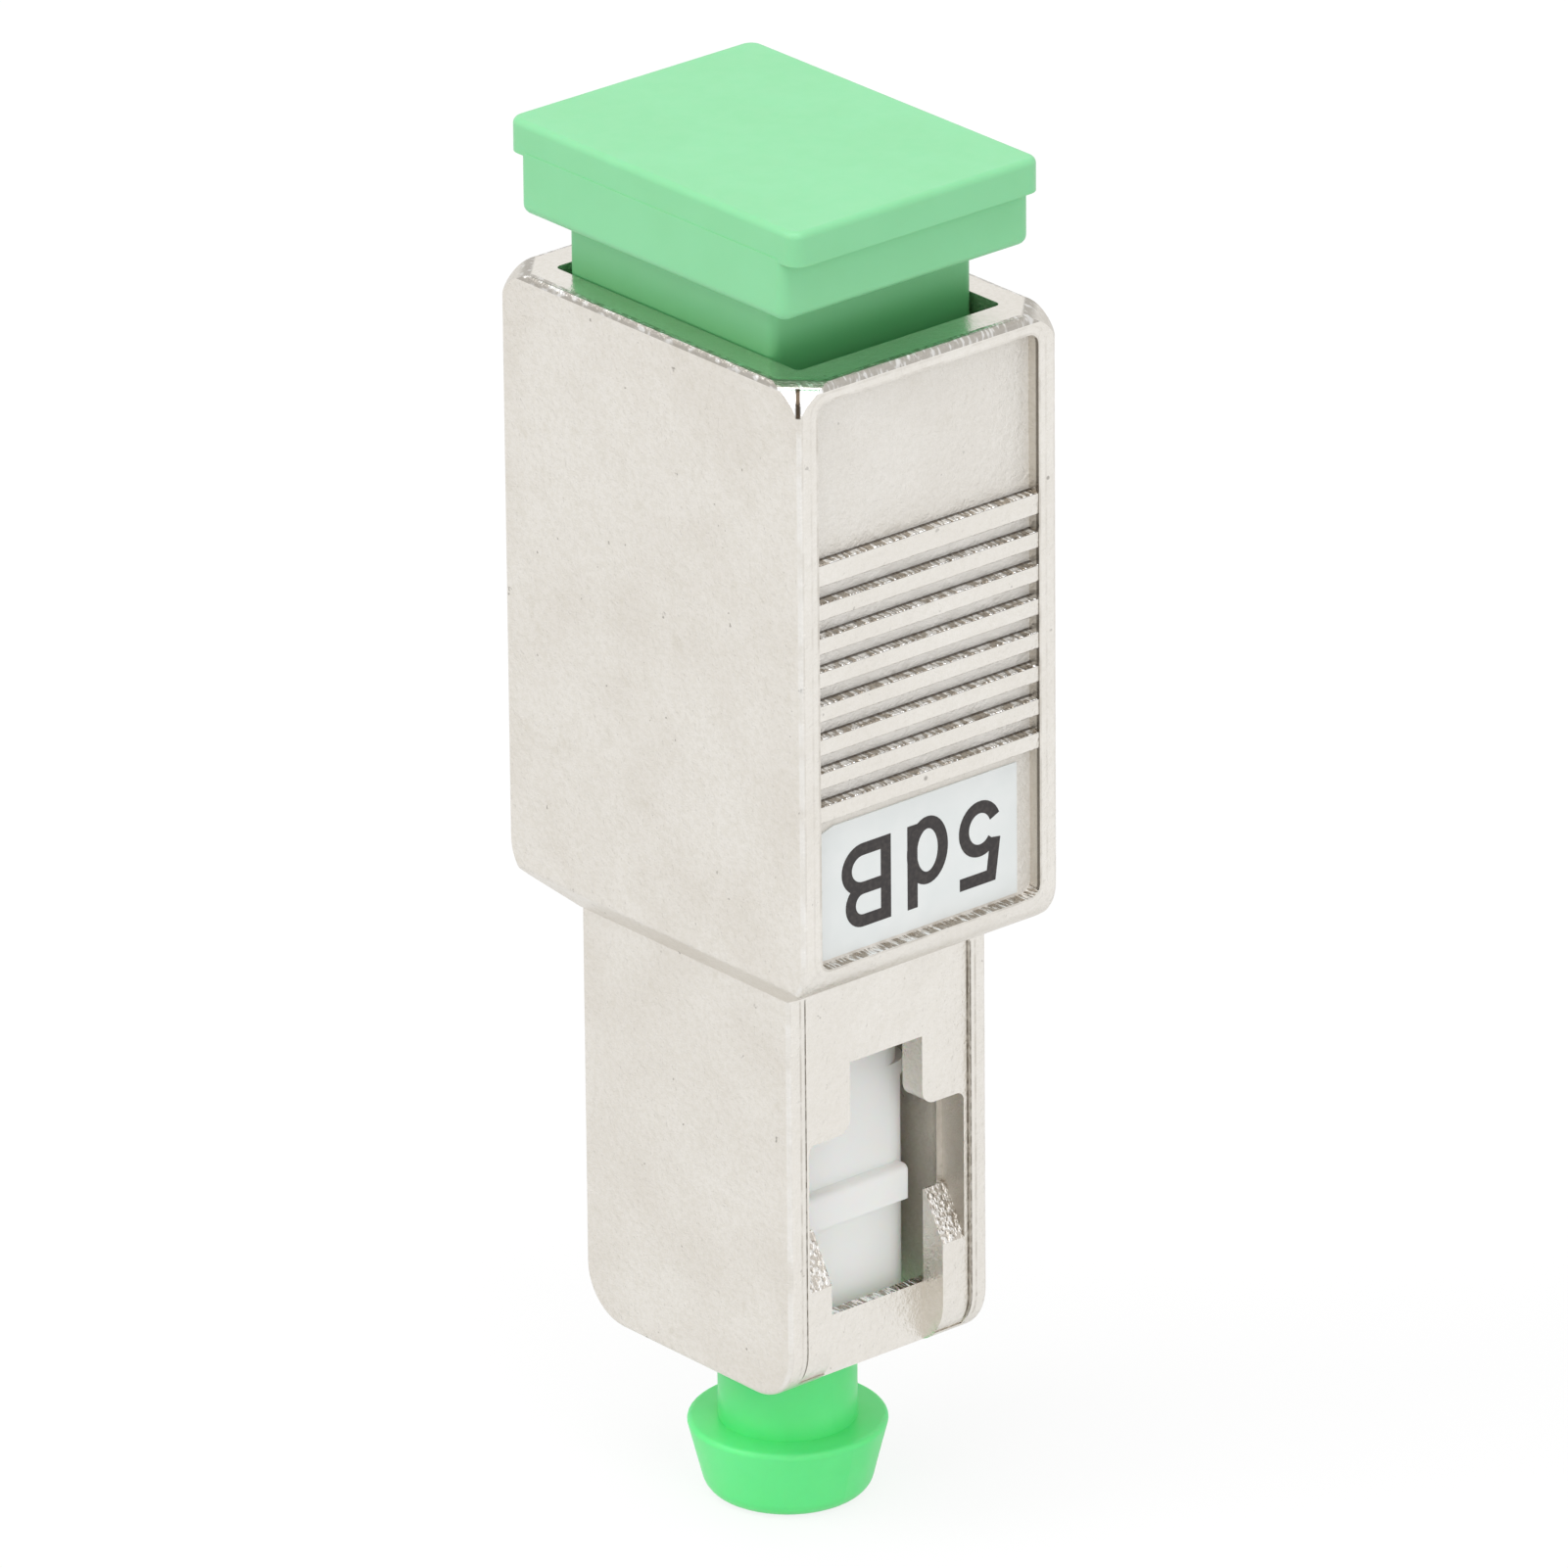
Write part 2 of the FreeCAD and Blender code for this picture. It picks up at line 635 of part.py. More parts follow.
def hook():
    """Latch arm with its nose, at +X. The nose's upper side slopes to let a plug in."""
    start = Z_PLATE_HIGH - OVERRUN
    corners = [
        ((HOOK_INNER_X, start), 0),
        ((HOOK_INNER_X, Z_CATCH), 0),
        ((HOOK_TIP_X, Z_CATCH), HOOK_NOSE_ROUND),
        ((HOOK_TIP_X, Z_CATCH + HOOK_NOSE_FLAT), HOOK_NOSE_ROUND),
        ((HOOK_INNER_X, Z_HOOK_TOP), HOOK_NOSE_ROUND),
        ((HOOK_OUTER_X, Z_HOOK_TOP), HOOK_TOP_ROUND),
        ((HOOK_OUTER_X, start), 0),
    ]
    return along_y(corners, HOOK_Y)


def guide_rails():
    """Four corner rails that run up the port's walls beside the hooks."""
    high = Z_PLATE_HIGH + RAIL_LENGTH
    rails = slab(INSERT_X, INSERT_Y, PORT_CORNER - FIT_SLIDE, Z_PLATE_LOW, high)
    inner_x = 2 * (HOOK_OUTER_X + RAIL_GAP_X)
    inner_y = INSERT_Y - 2 * RAIL_Y
    low = Z_PLATE_LOW - OVERRUN
    clear = [
        bar(inner_x, INSERT_Y + OVERRUN, low, high + OVERRUN),
        bar(INSERT_X + OVERRUN, inner_y, low, high + OVERRUN),
    ]
    return rails.cut(clear)


def latch_insert():
    """Base plate, four guide rails, two hooks and the sleeve holder, in one moulding."""
    plate = slab(INSERT_X, INSERT_Y, PORT_CORNER - FIT_SLIDE, Z_PLATE_LOW, Z_PLATE_HIGH)
    socket = slab(
        LIP_X - 2 * GAP_LOOSE + 2 * FIT_SLIDE,
        LIP_Y - 2 * GAP_LOOSE + 2 * FIT_SLIDE,
        LIP_CORNER - GAP_LOOSE + FIT_SLIDE,
        Z_PLATE_LOW - OVERRUN,
        Z_NECK_TOP + FIT_SLIDE,
    )
    holder = [
        rod(HOLDER_LOWER_D, Z_HOLDER_LOW, Z_PLATE_HIGH - OVERRUN),
        rod(HOLDER_UPPER_D, Z_PLATE_HIGH - 2 * OVERRUN, Z_HOLDER_HIGH),
    ]
    bores = [
        rod(FERRULE_D + 2 * FIT_SLIDE, Z_HOLDER_LOW - OVERRUN, Z_HOLDER_HIGH),
        rod(HOLDER_BORE_D, Z_SLEEVE_LOW, Z_HOLDER_HIGH + OVERRUN),
    ]
    solid = plate.cut(socket).fuse(guide_rails().Solids + both_sides(hook()) + holder)
    return solid.cut(bores).removeSplitter()


def sleeve_retainer():
    """Ring closing the top of the sleeve holder, with a lead-in for the ferrule."""
    top = Z_HOLDER_HIGH + RETAINER_THICK
    spigot_low = Z_HOLDER_HIGH - RETAINER_SPIGOT
    bore = FERRULE_D + 2 * RETAINER_BORE_GAP
    ring = rod(HOLDER_UPPER_D, Z_HOLDER_HIGH, top)
    spigot = rod(HOLDER_BORE_D - 2 * FIT_SPIGOT, spigot_low, Z_HOLDER_HIGH + OVERRUN)
    hole = rod(bore, spigot_low - OVERRUN, top + OVERRUN)
    lead = cone(bore, bore + 2 * RETAINER_CHAMFER, top - RETAINER_CHAMFER, top)
    return ring.fuse(spigot).cut([hole, lead]).removeSplitter()


def split_sleeve():
    """Alignment sleeve with one slit along its whole length, facing +Y."""
    low = Z_SLEEVE_LOW - OVERRUN
    high = Z_SLEEVE_HIGH + OVERRUN
    bore = rod(SLEEVE_BORE_D, low, high)
    slit = block(-SLEEVE_SLIT / 2, SLEEVE_SLIT / 2, 0, SLEEVE_D, low, high)
    return rod(SLEEVE_D, Z_SLEEVE_LOW, Z_SLEEVE_HIGH).cut([bore, slit])


def polished_off():
    """What the angled polish takes off both ends, sloping the same way and clear of the chamfer."""
    drop = (FERRULE_D / 2 - FERRULE_CHAMFER) * math.tan(math.radians(POLISH_ANGLE))
    cuts = []
    for level, low in ((Z_TIP + drop, -FERRULE_D), (Z_CONTACT - drop, 0)):
        tilted = bar(2 * FERRULE_D, 2 * FERRULE_D, low, low + FERRULE_D)
        tilted.rotate(Vector(0, 0, 0), Vector(1, 0, 0), POLISH_ANGLE)
        cuts.append(tilted.translate(Vector(0, 0, level)))
    return cuts


def ferrule():
    """Ceramic ferrule, chamfered and polished at an angle at both ends."""
    solid = rod(FERRULE_D, Z_TIP, Z_CONTACT)
    rims = edges_at(solid, Z_TIP) + edges_at(solid, Z_CONTACT)
    solid = solid.makeChamfer(FERRULE_CHAMFER, rims)
    return solid.cut([rod(FIBRE_D, Z_TIP - OVERRUN, Z_CONTACT + OVERRUN)] + polished_off())


def doped_fibre():
    """Attenuating fibre filling the ferrule's bore from face to face."""
    return rod(FIBRE_D, Z_TIP, Z_CONTACT).cut(polished_off())


def ferrule_flange():
    """Collar pressed on the ferrule, with two key notches and a lower chamfer."""
    collar = rod(FLANGE_D, Z_FLANGE_LOW, Z_FLANGE_HIGH)
    collar = collar.makeChamfer(FLANGE_CHAMFER, edges_at(collar, Z_FLANGE_LOW))
    floor_y = FLANGE_D / 2 - FLANGE_NOTCH_DEPTH
    low = Z_FLANGE_LOW - OVERRUN
    high = Z_FLANGE_HIGH + OVERRUN
    notch = block(-FLANGE_NOTCH_Y / 2, FLANGE_NOTCH_Y / 2, floor_y, FLANGE_D, low, high)
    return collar.cut([rod(FERRULE_D, low, high)] + both_sides(notch))


def half_turn(radius, low, climb):
    """Half a ring of spring wire from +X round to -X, tipped so that it climbs on the way."""
    wire = Part.Face(Part.Wire(Part.makeCircle(SPRING_WIRE_D / 2, Vector(radius, 0, low), Vector(0, 1, 0))))
    return wire.revolve(Vector(0, 0, low + climb / 2), Vector(climb / 2, 0, radius), 180)


def ferrule_spring():
    """Coil between the flange and the underside of the sleeve holder.

    Every half turn is half a ring. Its ends lie level, so the next one joins it smoothly.
    """
    low = Z_FLANGE_HIGH + SPRING_WIRE_D / 2
    high = Z_HOLDER_LOW - SPRING_WIRE_D / 2
    radius = (FLANGE_D - SPRING_WIRE_D) / 2
    count = round(2 * (high - low) / SPRING_PITCH)
    climb = (high - low) / count
    halves = []
    for index in range(count):
        half = half_turn(radius, low + index * climb, climb)
        halves.append(turned(half) if index % 2 else half)
    return halves[0].fuse(halves[1:])


def port_dust_plug():
    """Plug for the receptacle: thin crown, thicker grip below it, hollow neck in the port."""
    crown = slab(CROWN_X, CROWN_Y, CROWN_CORNER, Z_CROWN, Z_TOP, PLUG_SHIFT_X)
    crown = crown.makeFillet(CROWN_EDGE, edges_at(crown, Z_TOP))
    grip = slab(GRIP_X, GRIP_Y, GRIP_CORNER, Z_GRIP, Z_CROWN + OVERRUN, PLUG_SHIFT_X)
    grip = grip.makeFillet(GRIP_EDGE, edges_at(grip, Z_GRIP))
    neck = slab(NECK_X, NECK_Y, NECK_CORNER, Z_PLUG_NECK, Z_GRIP + OVERRUN, NECK_SHIFT_X)
    neck = neck.makeChamfer(NECK_LEAD_IN, edges_at(neck, Z_PLUG_NECK))
    hollow = slab(
        NECK_X - 2 * NECK_WALL,
        NECK_Y - 2 * NECK_WALL,
        NECK_CORNER,
        Z_PLUG_NECK - OVERRUN,
        Z_TOP - NECK_ROOF,
        NECK_SHIFT_X,
    )
    return crown.fuse([grip, neck]).cut(hollow).removeSplitter()


def ferrule_cap():
    """Cap on the ferrule: tapered head with a rounded foot, and a tube over the ferrule."""
    head = cone(CAP_HEAD_FOOT_D, CAP_HEAD_TOP_D, 0, CAP_HEAD_HIGH)
    head = head.makeFillet(CAP_RIM_ROUND, edges_at(head, CAP_HEAD_HIGH))
    head = head.makeFillet(CAP_FOOT_ROUND, edges_at(head, 0))
    tube = rod(CAP_TUBE_D, CAP_HEAD_HIGH - OVERRUN, Z_CAP_TOP)
    tube = tube.makeFillet(CAP_RIM_ROUND, edges_at(tube, Z_CAP_TOP))
    bore_d = FERRULE_D + 2 * FIT_CAP_BORE
    bore = rod(bore_d, Z_CAP_FLOOR, Z_CAP_TOP + OVERRUN)
    lead = cone(bore_d, bore_d + 2 * CAP_LEAD_IN, Z_CAP_TOP - CAP_LEAD_IN, Z_CAP_TOP)
    return head.fuse(tube).cut([bore, lead]).removeSplitter()


SUB_PARTS = (
    metal_housing,
    value_label,
    plug_frame,
    latch_insert,
    sleeve_retainer,
    split_sleeve,
    ferrule,
    doped_fibre,
    ferrule_flange,
    ferrule_spring,
    port_dust_plug,
    ferrule_cap,
)


def main():
    """Write one STEP file for each sub-part, named after its function."""
    os.makedirs("parts", exist_ok=True)
    for make in SUB_PARTS:
        shape = make()
        if len(shape.Solids) != 1 or not shape.isValid():
            raise ValueError(f"{make.__name__} isn't one valid solid")
        shape.Solids[0].exportStep(f"parts/{make.__name__}.step")
        print(f"{make.__name__}: {shape.Volume:.3f} mm3")


main()
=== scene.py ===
"""Finishes, label print, studio and camera for an in-line fibre optic attenuator.

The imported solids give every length, and the scene adds the finish of each piece: satin nickel
plate over a die casting, moulded plastics, zirconia, the print on the value label, and the
ferrule's spring as one true helix.
Lengths inside the finishes are in millimetres, everything else is in metres.
"""

import logging
import math
from dataclasses import dataclass, field
from enum import Enum
from typing import Any

import bpy
from mathutils import Matrix, Vector


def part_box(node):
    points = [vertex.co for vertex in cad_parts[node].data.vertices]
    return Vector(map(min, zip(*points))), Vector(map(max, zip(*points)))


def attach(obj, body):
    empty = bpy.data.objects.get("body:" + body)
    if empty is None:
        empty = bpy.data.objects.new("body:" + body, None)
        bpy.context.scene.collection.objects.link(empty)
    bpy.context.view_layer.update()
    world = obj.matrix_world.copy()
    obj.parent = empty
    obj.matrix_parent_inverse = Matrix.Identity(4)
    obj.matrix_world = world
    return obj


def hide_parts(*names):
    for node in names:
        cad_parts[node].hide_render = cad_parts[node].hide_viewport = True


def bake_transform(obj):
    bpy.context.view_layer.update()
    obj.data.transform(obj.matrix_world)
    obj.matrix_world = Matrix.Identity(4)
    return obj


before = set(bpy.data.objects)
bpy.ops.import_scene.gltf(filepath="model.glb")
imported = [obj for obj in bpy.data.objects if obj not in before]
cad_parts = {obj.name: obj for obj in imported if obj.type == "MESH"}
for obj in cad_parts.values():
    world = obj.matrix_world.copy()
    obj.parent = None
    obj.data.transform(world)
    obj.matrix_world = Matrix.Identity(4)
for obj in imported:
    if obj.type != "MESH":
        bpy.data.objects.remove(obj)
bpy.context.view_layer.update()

LOG = logging.getLogger("attenuator")
MM = 0.001


def linear(code: str) -> tuple[float, float, float, float]:
    """Turn an sRGB hex value into the linear colour that a shader takes.

    Args:
        code: Six hex digits with a leading hash.

    Returns:
        Linear red, green, blue and an alpha of 1.
    """
    parts = [int(code[at : at + 2], 16) / 255 for at in (1, 3, 5)]
    red, green, blue = (v / 12.92 if v <= 0.04045 else ((v + 0.055) / 1.055) ** 2.4 for v in parts)
    return red, green, blue, 1.0


def add_node(
    tree: bpy.types.NodeTree, kind: str, links: dict[Any, Any] | None = None, **settings: Any
) -> Any:
    """Add one node with its settings, and set or link its inputs.

    Args:
        tree: The node tree that takes the node.
        kind: The node's class name without its ShaderNode prefix.
        links: Input name or index to an output socket, or to a plain value.
        **settings: Properties set on the node itself.

    Returns:
        The new node.
    """
    node = tree.nodes.new(f"ShaderNode{kind}")
    for name, value in settings.items():
        setattr(node, name, value)
    for name, value in (links or {}).items():
        if isinstance(value, bpy.types.NodeSocket):
            tree.links.new(value, node.inputs[name])
        else:
            node.inputs[name].default_value = value
    return node


class PerMm(Enum):
    """How many features of a noise fit in a millimetre, for each thing that a noise stands for."""

    CLOUDS = 0.30
    HANDLING = 0.80
    STAINS = 1.10
    PITS = 2.60
    PEBBLES = 4.00
    MOTTLE = 6.00
    FINE_SKIN = 16.0


class Shader:
    """A material under construction, with the sums its patterns need."""

    def __init__(self, name: str) -> None:
        """Start a material with an empty tree, its output and millimetre coordinates.

        Args:
            name: The material's name.
        """
        self.material = bpy.data.materials.new(name)
        self.material.use_nodes = True
        self.tree = self.material.node_tree
        self.tree.nodes.clear()
        self.output = self.add("OutputMaterial")
        place = self.add("TexCoord")
        self.object_normal = place.outputs["Normal"]
        self.millimetres = self.add(
            "Mapping", {"Vector": place.outputs["Object"], "Scale": (1 / MM, 1 / MM, 1 / MM)}
        ).outputs[0]

    def add(self, kind: str, links: dict[Any, Any] | None = None, **settings: Any) -> Any:
        """Add a node to this material, as add_node does.

        Args:
            kind: The node's class name without its ShaderNode prefix.
            links: Input name or index to an output socket, or to a plain value.
            **settings: Properties set on the node itself.

        Returns:
            The new node.
        """
        return add_node(self.tree, kind, links, **settings)

    def math(self, operation: str, first: Any, second: Any = 0.0, clamp: bool = False) -> Any:
        """Return the output of one sum on two numbers.

        Args:
            operation: Name of the sum, as the Math node lists it.
            first: The first number or socket.
            second: The second number or socket.
            clamp: Whether the result is kept from 0 to 1.

        Returns:
            The socket of the result.
        """
        return self.add("Math", {0: first, 1: second}, operation=operation, use_clamp=clamp).outputs[0]

    def ramp(self, value: Any, low: float, high: float, start: float = 0.0, end: float = 1.0) -> Any:
        """Return a smooth step of value from start at low to end at high.

        Args:
            value: The socket to read.
            low: Value at which the step starts.
            high: Value at which the step ends.
            start: Result up to low.
            end: Result from high on.

        Returns:
            The socket of the result.
        """
        links = {"Value": value, "From Min": low, "From Max": high, "To Min": start, "To Max": end}
        return self.add("MapRange", links, interpolation_type="SMOOTHSTEP").outputs[0]

    def noise(self, per_mm: float, detail: float = 2.0, roughness: float = 0.5) -> Any:
        """Return a noise value with about this many grains to the millimetre.

        Args:
            per_mm: Grains to the millimetre.
            detail: Octaves of finer grain.
            roughness: How much the finer grain counts.

        Returns:
            The socket of the noise, 0 to 1.
        """
        links = {"Vector": self.millimetres, "Scale": per_mm, "Detail": detail, "Roughness": roughness}
        return self.add("TexNoise", links).outputs[0]

    def blend(self, amount: Any, first: Any, second: Any) -> Any:
        """Return a colour mixed from first to second by amount.

        Args:
            amount: 0 for the first colour, 1 for the second.
            first: The colour underneath.
            second: The colour on top.

        Returns:
            The socket of the mixed colour.
        """
        node = self.add("Mix", data_type="RGBA")
        for socket, value in zip((node.inputs[0], node.inputs[6], node.inputs[7]), (amount, first, second)):
            if isinstance(value, bpy.types.NodeSocket):
                self.tree.links.new(value, socket)
            else:
                socket.default_value = value
        return node.outputs[2]

    def tint(self, colour: Any, amount: Any, code: str) -> Any:
        """Return the colour with the one of this hex value laid over it by amount.

        Args:
            colour: The colour underneath.
            amount: How much of it is covered, 0 to 1.
            code: The colour on top, as an sRGB hex value.

        Returns:
            The socket of the mixed colour.
        """
        return self.blend(amount, colour, linear(code))

    def distance(self, place: tuple[float, float, float]) -> Any:
        """Return the distance from a place on the object, all in millimetres.

        Args:
            place: The place on the object.

        Returns:
            The socket of the distance.
        """
        return self.add("VectorMath", {0: self.millimetres, 1: place}, operation="DISTANCE").outputs["Value"]

    def axes(self, vector: Any) -> tuple[Any, Any, Any]:
        """Return the three components of a vector.

        Args:
            vector: The vector's socket.

        Returns:
            The sockets of x, y and z.
        """
        parts = self.add("SeparateXYZ", {0: vector})
        return parts.outputs[0], parts.outputs[1], parts.outputs[2]

    def streaks(self, grain_mm: tuple[float, float, float]) -> Any:
        """Return a noise value whose grains are this long along each axis.

        Args:
            grain_mm: Length of a grain along x, y and z.

        Returns:
            The socket of the noise, 0 to 1.
        """
        scale = tuple(1 / (size * MM) for size in grain_mm)
        place = self.add("TexCoord").outputs["Object"]
        stretched = self.add("Mapping", {"Vector": place, "Scale": scale}).outputs[0]
        return self.add("TexNoise", {"Vector": stretched, "Scale": 1.0, "Detail": 1.5}).outputs[0]

    def patches(self, per_mm: float) -> Any:
        """Return a mask that comes and goes in patches.

        Args:
            per_mm: Patches to the millimetre.

        Returns:
            The socket of the mask, never quite 0.
        """
        return self.ramp(self.noise(per_mm, 3.0), 0.40, 0.60, 0.25, 1.0)

    def between(self, value: Any, low: float, high: float) -> Any:
        """Return a mask of the band where value lies from low to high.

        Args:
            value: The socket to read.
            low: Lower end of the band.
            high: Upper end of the band.

        Returns:
            The socket of the mask.
        """
        return self.all_of(self.ramp(value, low, low + 0.05), self.ramp(value, high - 0.05, high, 1.0, 0.0))

    def from_outline(
        self, across: Any, z: Any, middle: float, half_y: float, half_z: float, corner: float
    ) -> Any:
        """Return the distance from a rounded rectangle's outline, positive outside it.

        Args:
            across: Distance from the rectangle's upright centre line.
            z: Height.
            middle: Height of the rectangle's centre.
            half_y: Half its width.
            half_z: Half its height.
            corner: Radius of its corners.

        Returns:
            The distance, in the unit of the measures given.
        """
        over_y = self.math("SUBTRACT", across, half_y - corner)
        up = self.math("ABSOLUTE", self.math("SUBTRACT", z, middle))
        over_z = self.math("SUBTRACT", up, half_z - corner)
        squares = [self.math("POWER", self.math("MAXIMUM", over, 0.0), 2.0) for over in (over_y, over_z)]
        reach = self.math("SQRT", self.math("ADD", squares[0], squares[1]))
        within = self.math("MINIMUM", self.math("MAXIMUM", over_y, over_z), 0.0)
        return self.math("SUBTRACT", self.math("ADD", reach, within), corner)

    def all_of(self, *masks: Any) -> Any:
        """Return the part of the surface that all these masks share.

        Args:
            *masks: Sockets or plain numbers, each from 0 to 1.

        Returns:
            The socket of their product.
        """
        shared = masks[0]
        for mask in masks[1:]:
            shared = self.math("MULTIPLY", shared, mask)
        return shared

    def line(self, value: Any, place: float, half_width: float) -> Any:
        """Return a mask of a thin line where value is near place.

        Args:
            value: The socket to read.
            place: Value at the middle of the line.
            half_width: Distance from the middle at which it ends.

        Returns:
            The socket of the mask.
        """
        away = self.math("ABSOLUTE", self.math("SUBTRACT", value, place))
        return self.ramp(away, half_width * 0.4, half_width, 1.0, 0.0)

    def bump(self, height: Any, depth_mm: Any, normal: Any = None) -> Any:
        """Return a normal bent by a height of 0 to 1 that stands depth_mm tall.

        Args:
            height: The socket of the height.
            depth_mm: What a height of 1 stands for.
            normal: A normal that this one goes on top of.

        Returns:
            The socket of the normal.
        """
        links = {"Height": height, "Distance": depth_mm * MM, "Strength": 1.0}
        if normal is not None:
            links["Normal"] = normal
        return self.add("Bump", links).outputs[0]

    def finish(self, **inputs: Any) -> bpy.types.Material:
        """Join a Principled shader to the output.

        Args:
            **inputs: Input names with underscores for spaces, and their values or sockets.

        Returns:
            The finished material.
        """
        links = {name.replace("_", " "): value for name, value in inputs.items()}
        shader = self.add("BsdfPrincipled", links)
        self.tree.links.new(shader.outputs[0], self.output.inputs[0])
        return self.material


class CastingShader(Shader):
    """The casting's material under construction, with the masks that its layers share.

    Every length is in millimetres. The casting is alike on both sides, so most masks take the
    distance from its middle planes.
    """

    def __init__(self, name: str, bead_mm: float) -> None:
        """Start the material and find where on the casting each point lies.

        Args:
            name: The material's name.
            bead_mm: Size of the grit that the die left on the ledges.
        """
        super().__init__(name)
        low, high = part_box("metal_housing")
        self.half_x, self.half_y, self.top = high[0] / MM, -low[1] / MM, high[2] / MM
        self.floor_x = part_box("value_label")[0][0] / MM
        self.x, self.y, self.z = self.axes(self.millimetres)
        self.normal_x, self.normal_y, self.normal_z = self.axes(self.object_normal)
        self.side = self.math("ABSOLUTE", self.x)
        self.across = self.math("ABSOLUTE", self.y)
        self.facing_x = self.ramp(self.math("ABSOLUTE", self.normal_x), 0.8, 0.9)
        self.facing_y = self.ramp(self.math("ABSOLUTE", self.normal_y), 0.8, 0.9)
        self.on_top = self.ramp(self.z, self.top - 0.03, self.top - 0.01)
        self.below_rim = self.ramp(self.z, self.top - 1.3, self.top - 1.1, 1.0, 0.0)
        self.on_shell = self.ramp(self.z, 17.5, 17.6, 1.0, 0.0)
        self.ledges = self.all_of(
            self.ramp(self.normal_z, 0.35, 0.6), self.below_rim, self.ramp(self.z, 5.9, 6.1)
        )
        self.beads = self.streaks((0.60, bead_mm, bead_mm))
        self.grain = self.patches(4.5)
        self.in_pocket = self.ramp(self.side, self.floor_x - 0.04, self.floor_x - 0.01)
        up_to_floor = self.ramp(self.side, self.floor_x + 0.01, self.floor_x + 0.04, 1.0, 0.0)
        self.on_floor = self.all_of(up_to_floor, self.in_pocket, self.facing_x)
        self.inside = self.all_of(self.facing_y, self.between(self.across, 2.7, 2.95))
        near = self.half_x + self.half_y
        self.near_corner = self.ramp(self.math("SUBTRACT", self.x, self.y), near - 0.95, near - 0.85)
        # The near corner: smoother in the roughness, and painted with a highlight in corner().
        self.buffed_and_highlit = self.all_of(
            self.near_corner,
            self.ramp(self.z, self.top - 0.85, self.top - 0.65),
            self.ramp(self.normal_z, 0.03, 0.10),
        )


@dataclass(frozen=True)
class Mark:
    """A small pit or stain left by handling, at a place on the skin in millimetres."""

    place: tuple[float, float, float]
    reach: float
    depth: float

    def mask(self, shader: Shader) -> Any:
        """Return how strongly the mark shows at each point.

        Args:
            shader: The material that takes the mark.

        Returns:
            The socket of the mask.
        """
        return shader.ramp(shader.distance(self.place), self.reach * 0.4, self.reach, self.depth, 0.0)


@dataclass(frozen=True)
class Cover:
    """How much of what lies underneath each layer of the casting's finish hides, 0 to 1. Several layers are
    painted light and shade: lighter floors and faces, highlights, glints, and darker lines and walls.
    """

    stains: float = 0.4
    mottle: float = 0.22
    pits: float = 0.5
    pocket_floor_light: float = 0.95
    grit: float = 0.92
    ramp_shade: float = 0.30
    crease_shade: float = 0.9
    lip: float = 0.35
    rolled: float = 0.15
    near_edge: float = 0.20
    pocket_wall_shade: float = 0.20
    brow_shade: float = 0.75
    fold: float = 0.40
    edge_highlight: float = 0.35
    rim_dark_band: float = 0.58
    rim_glints: float = 0.50


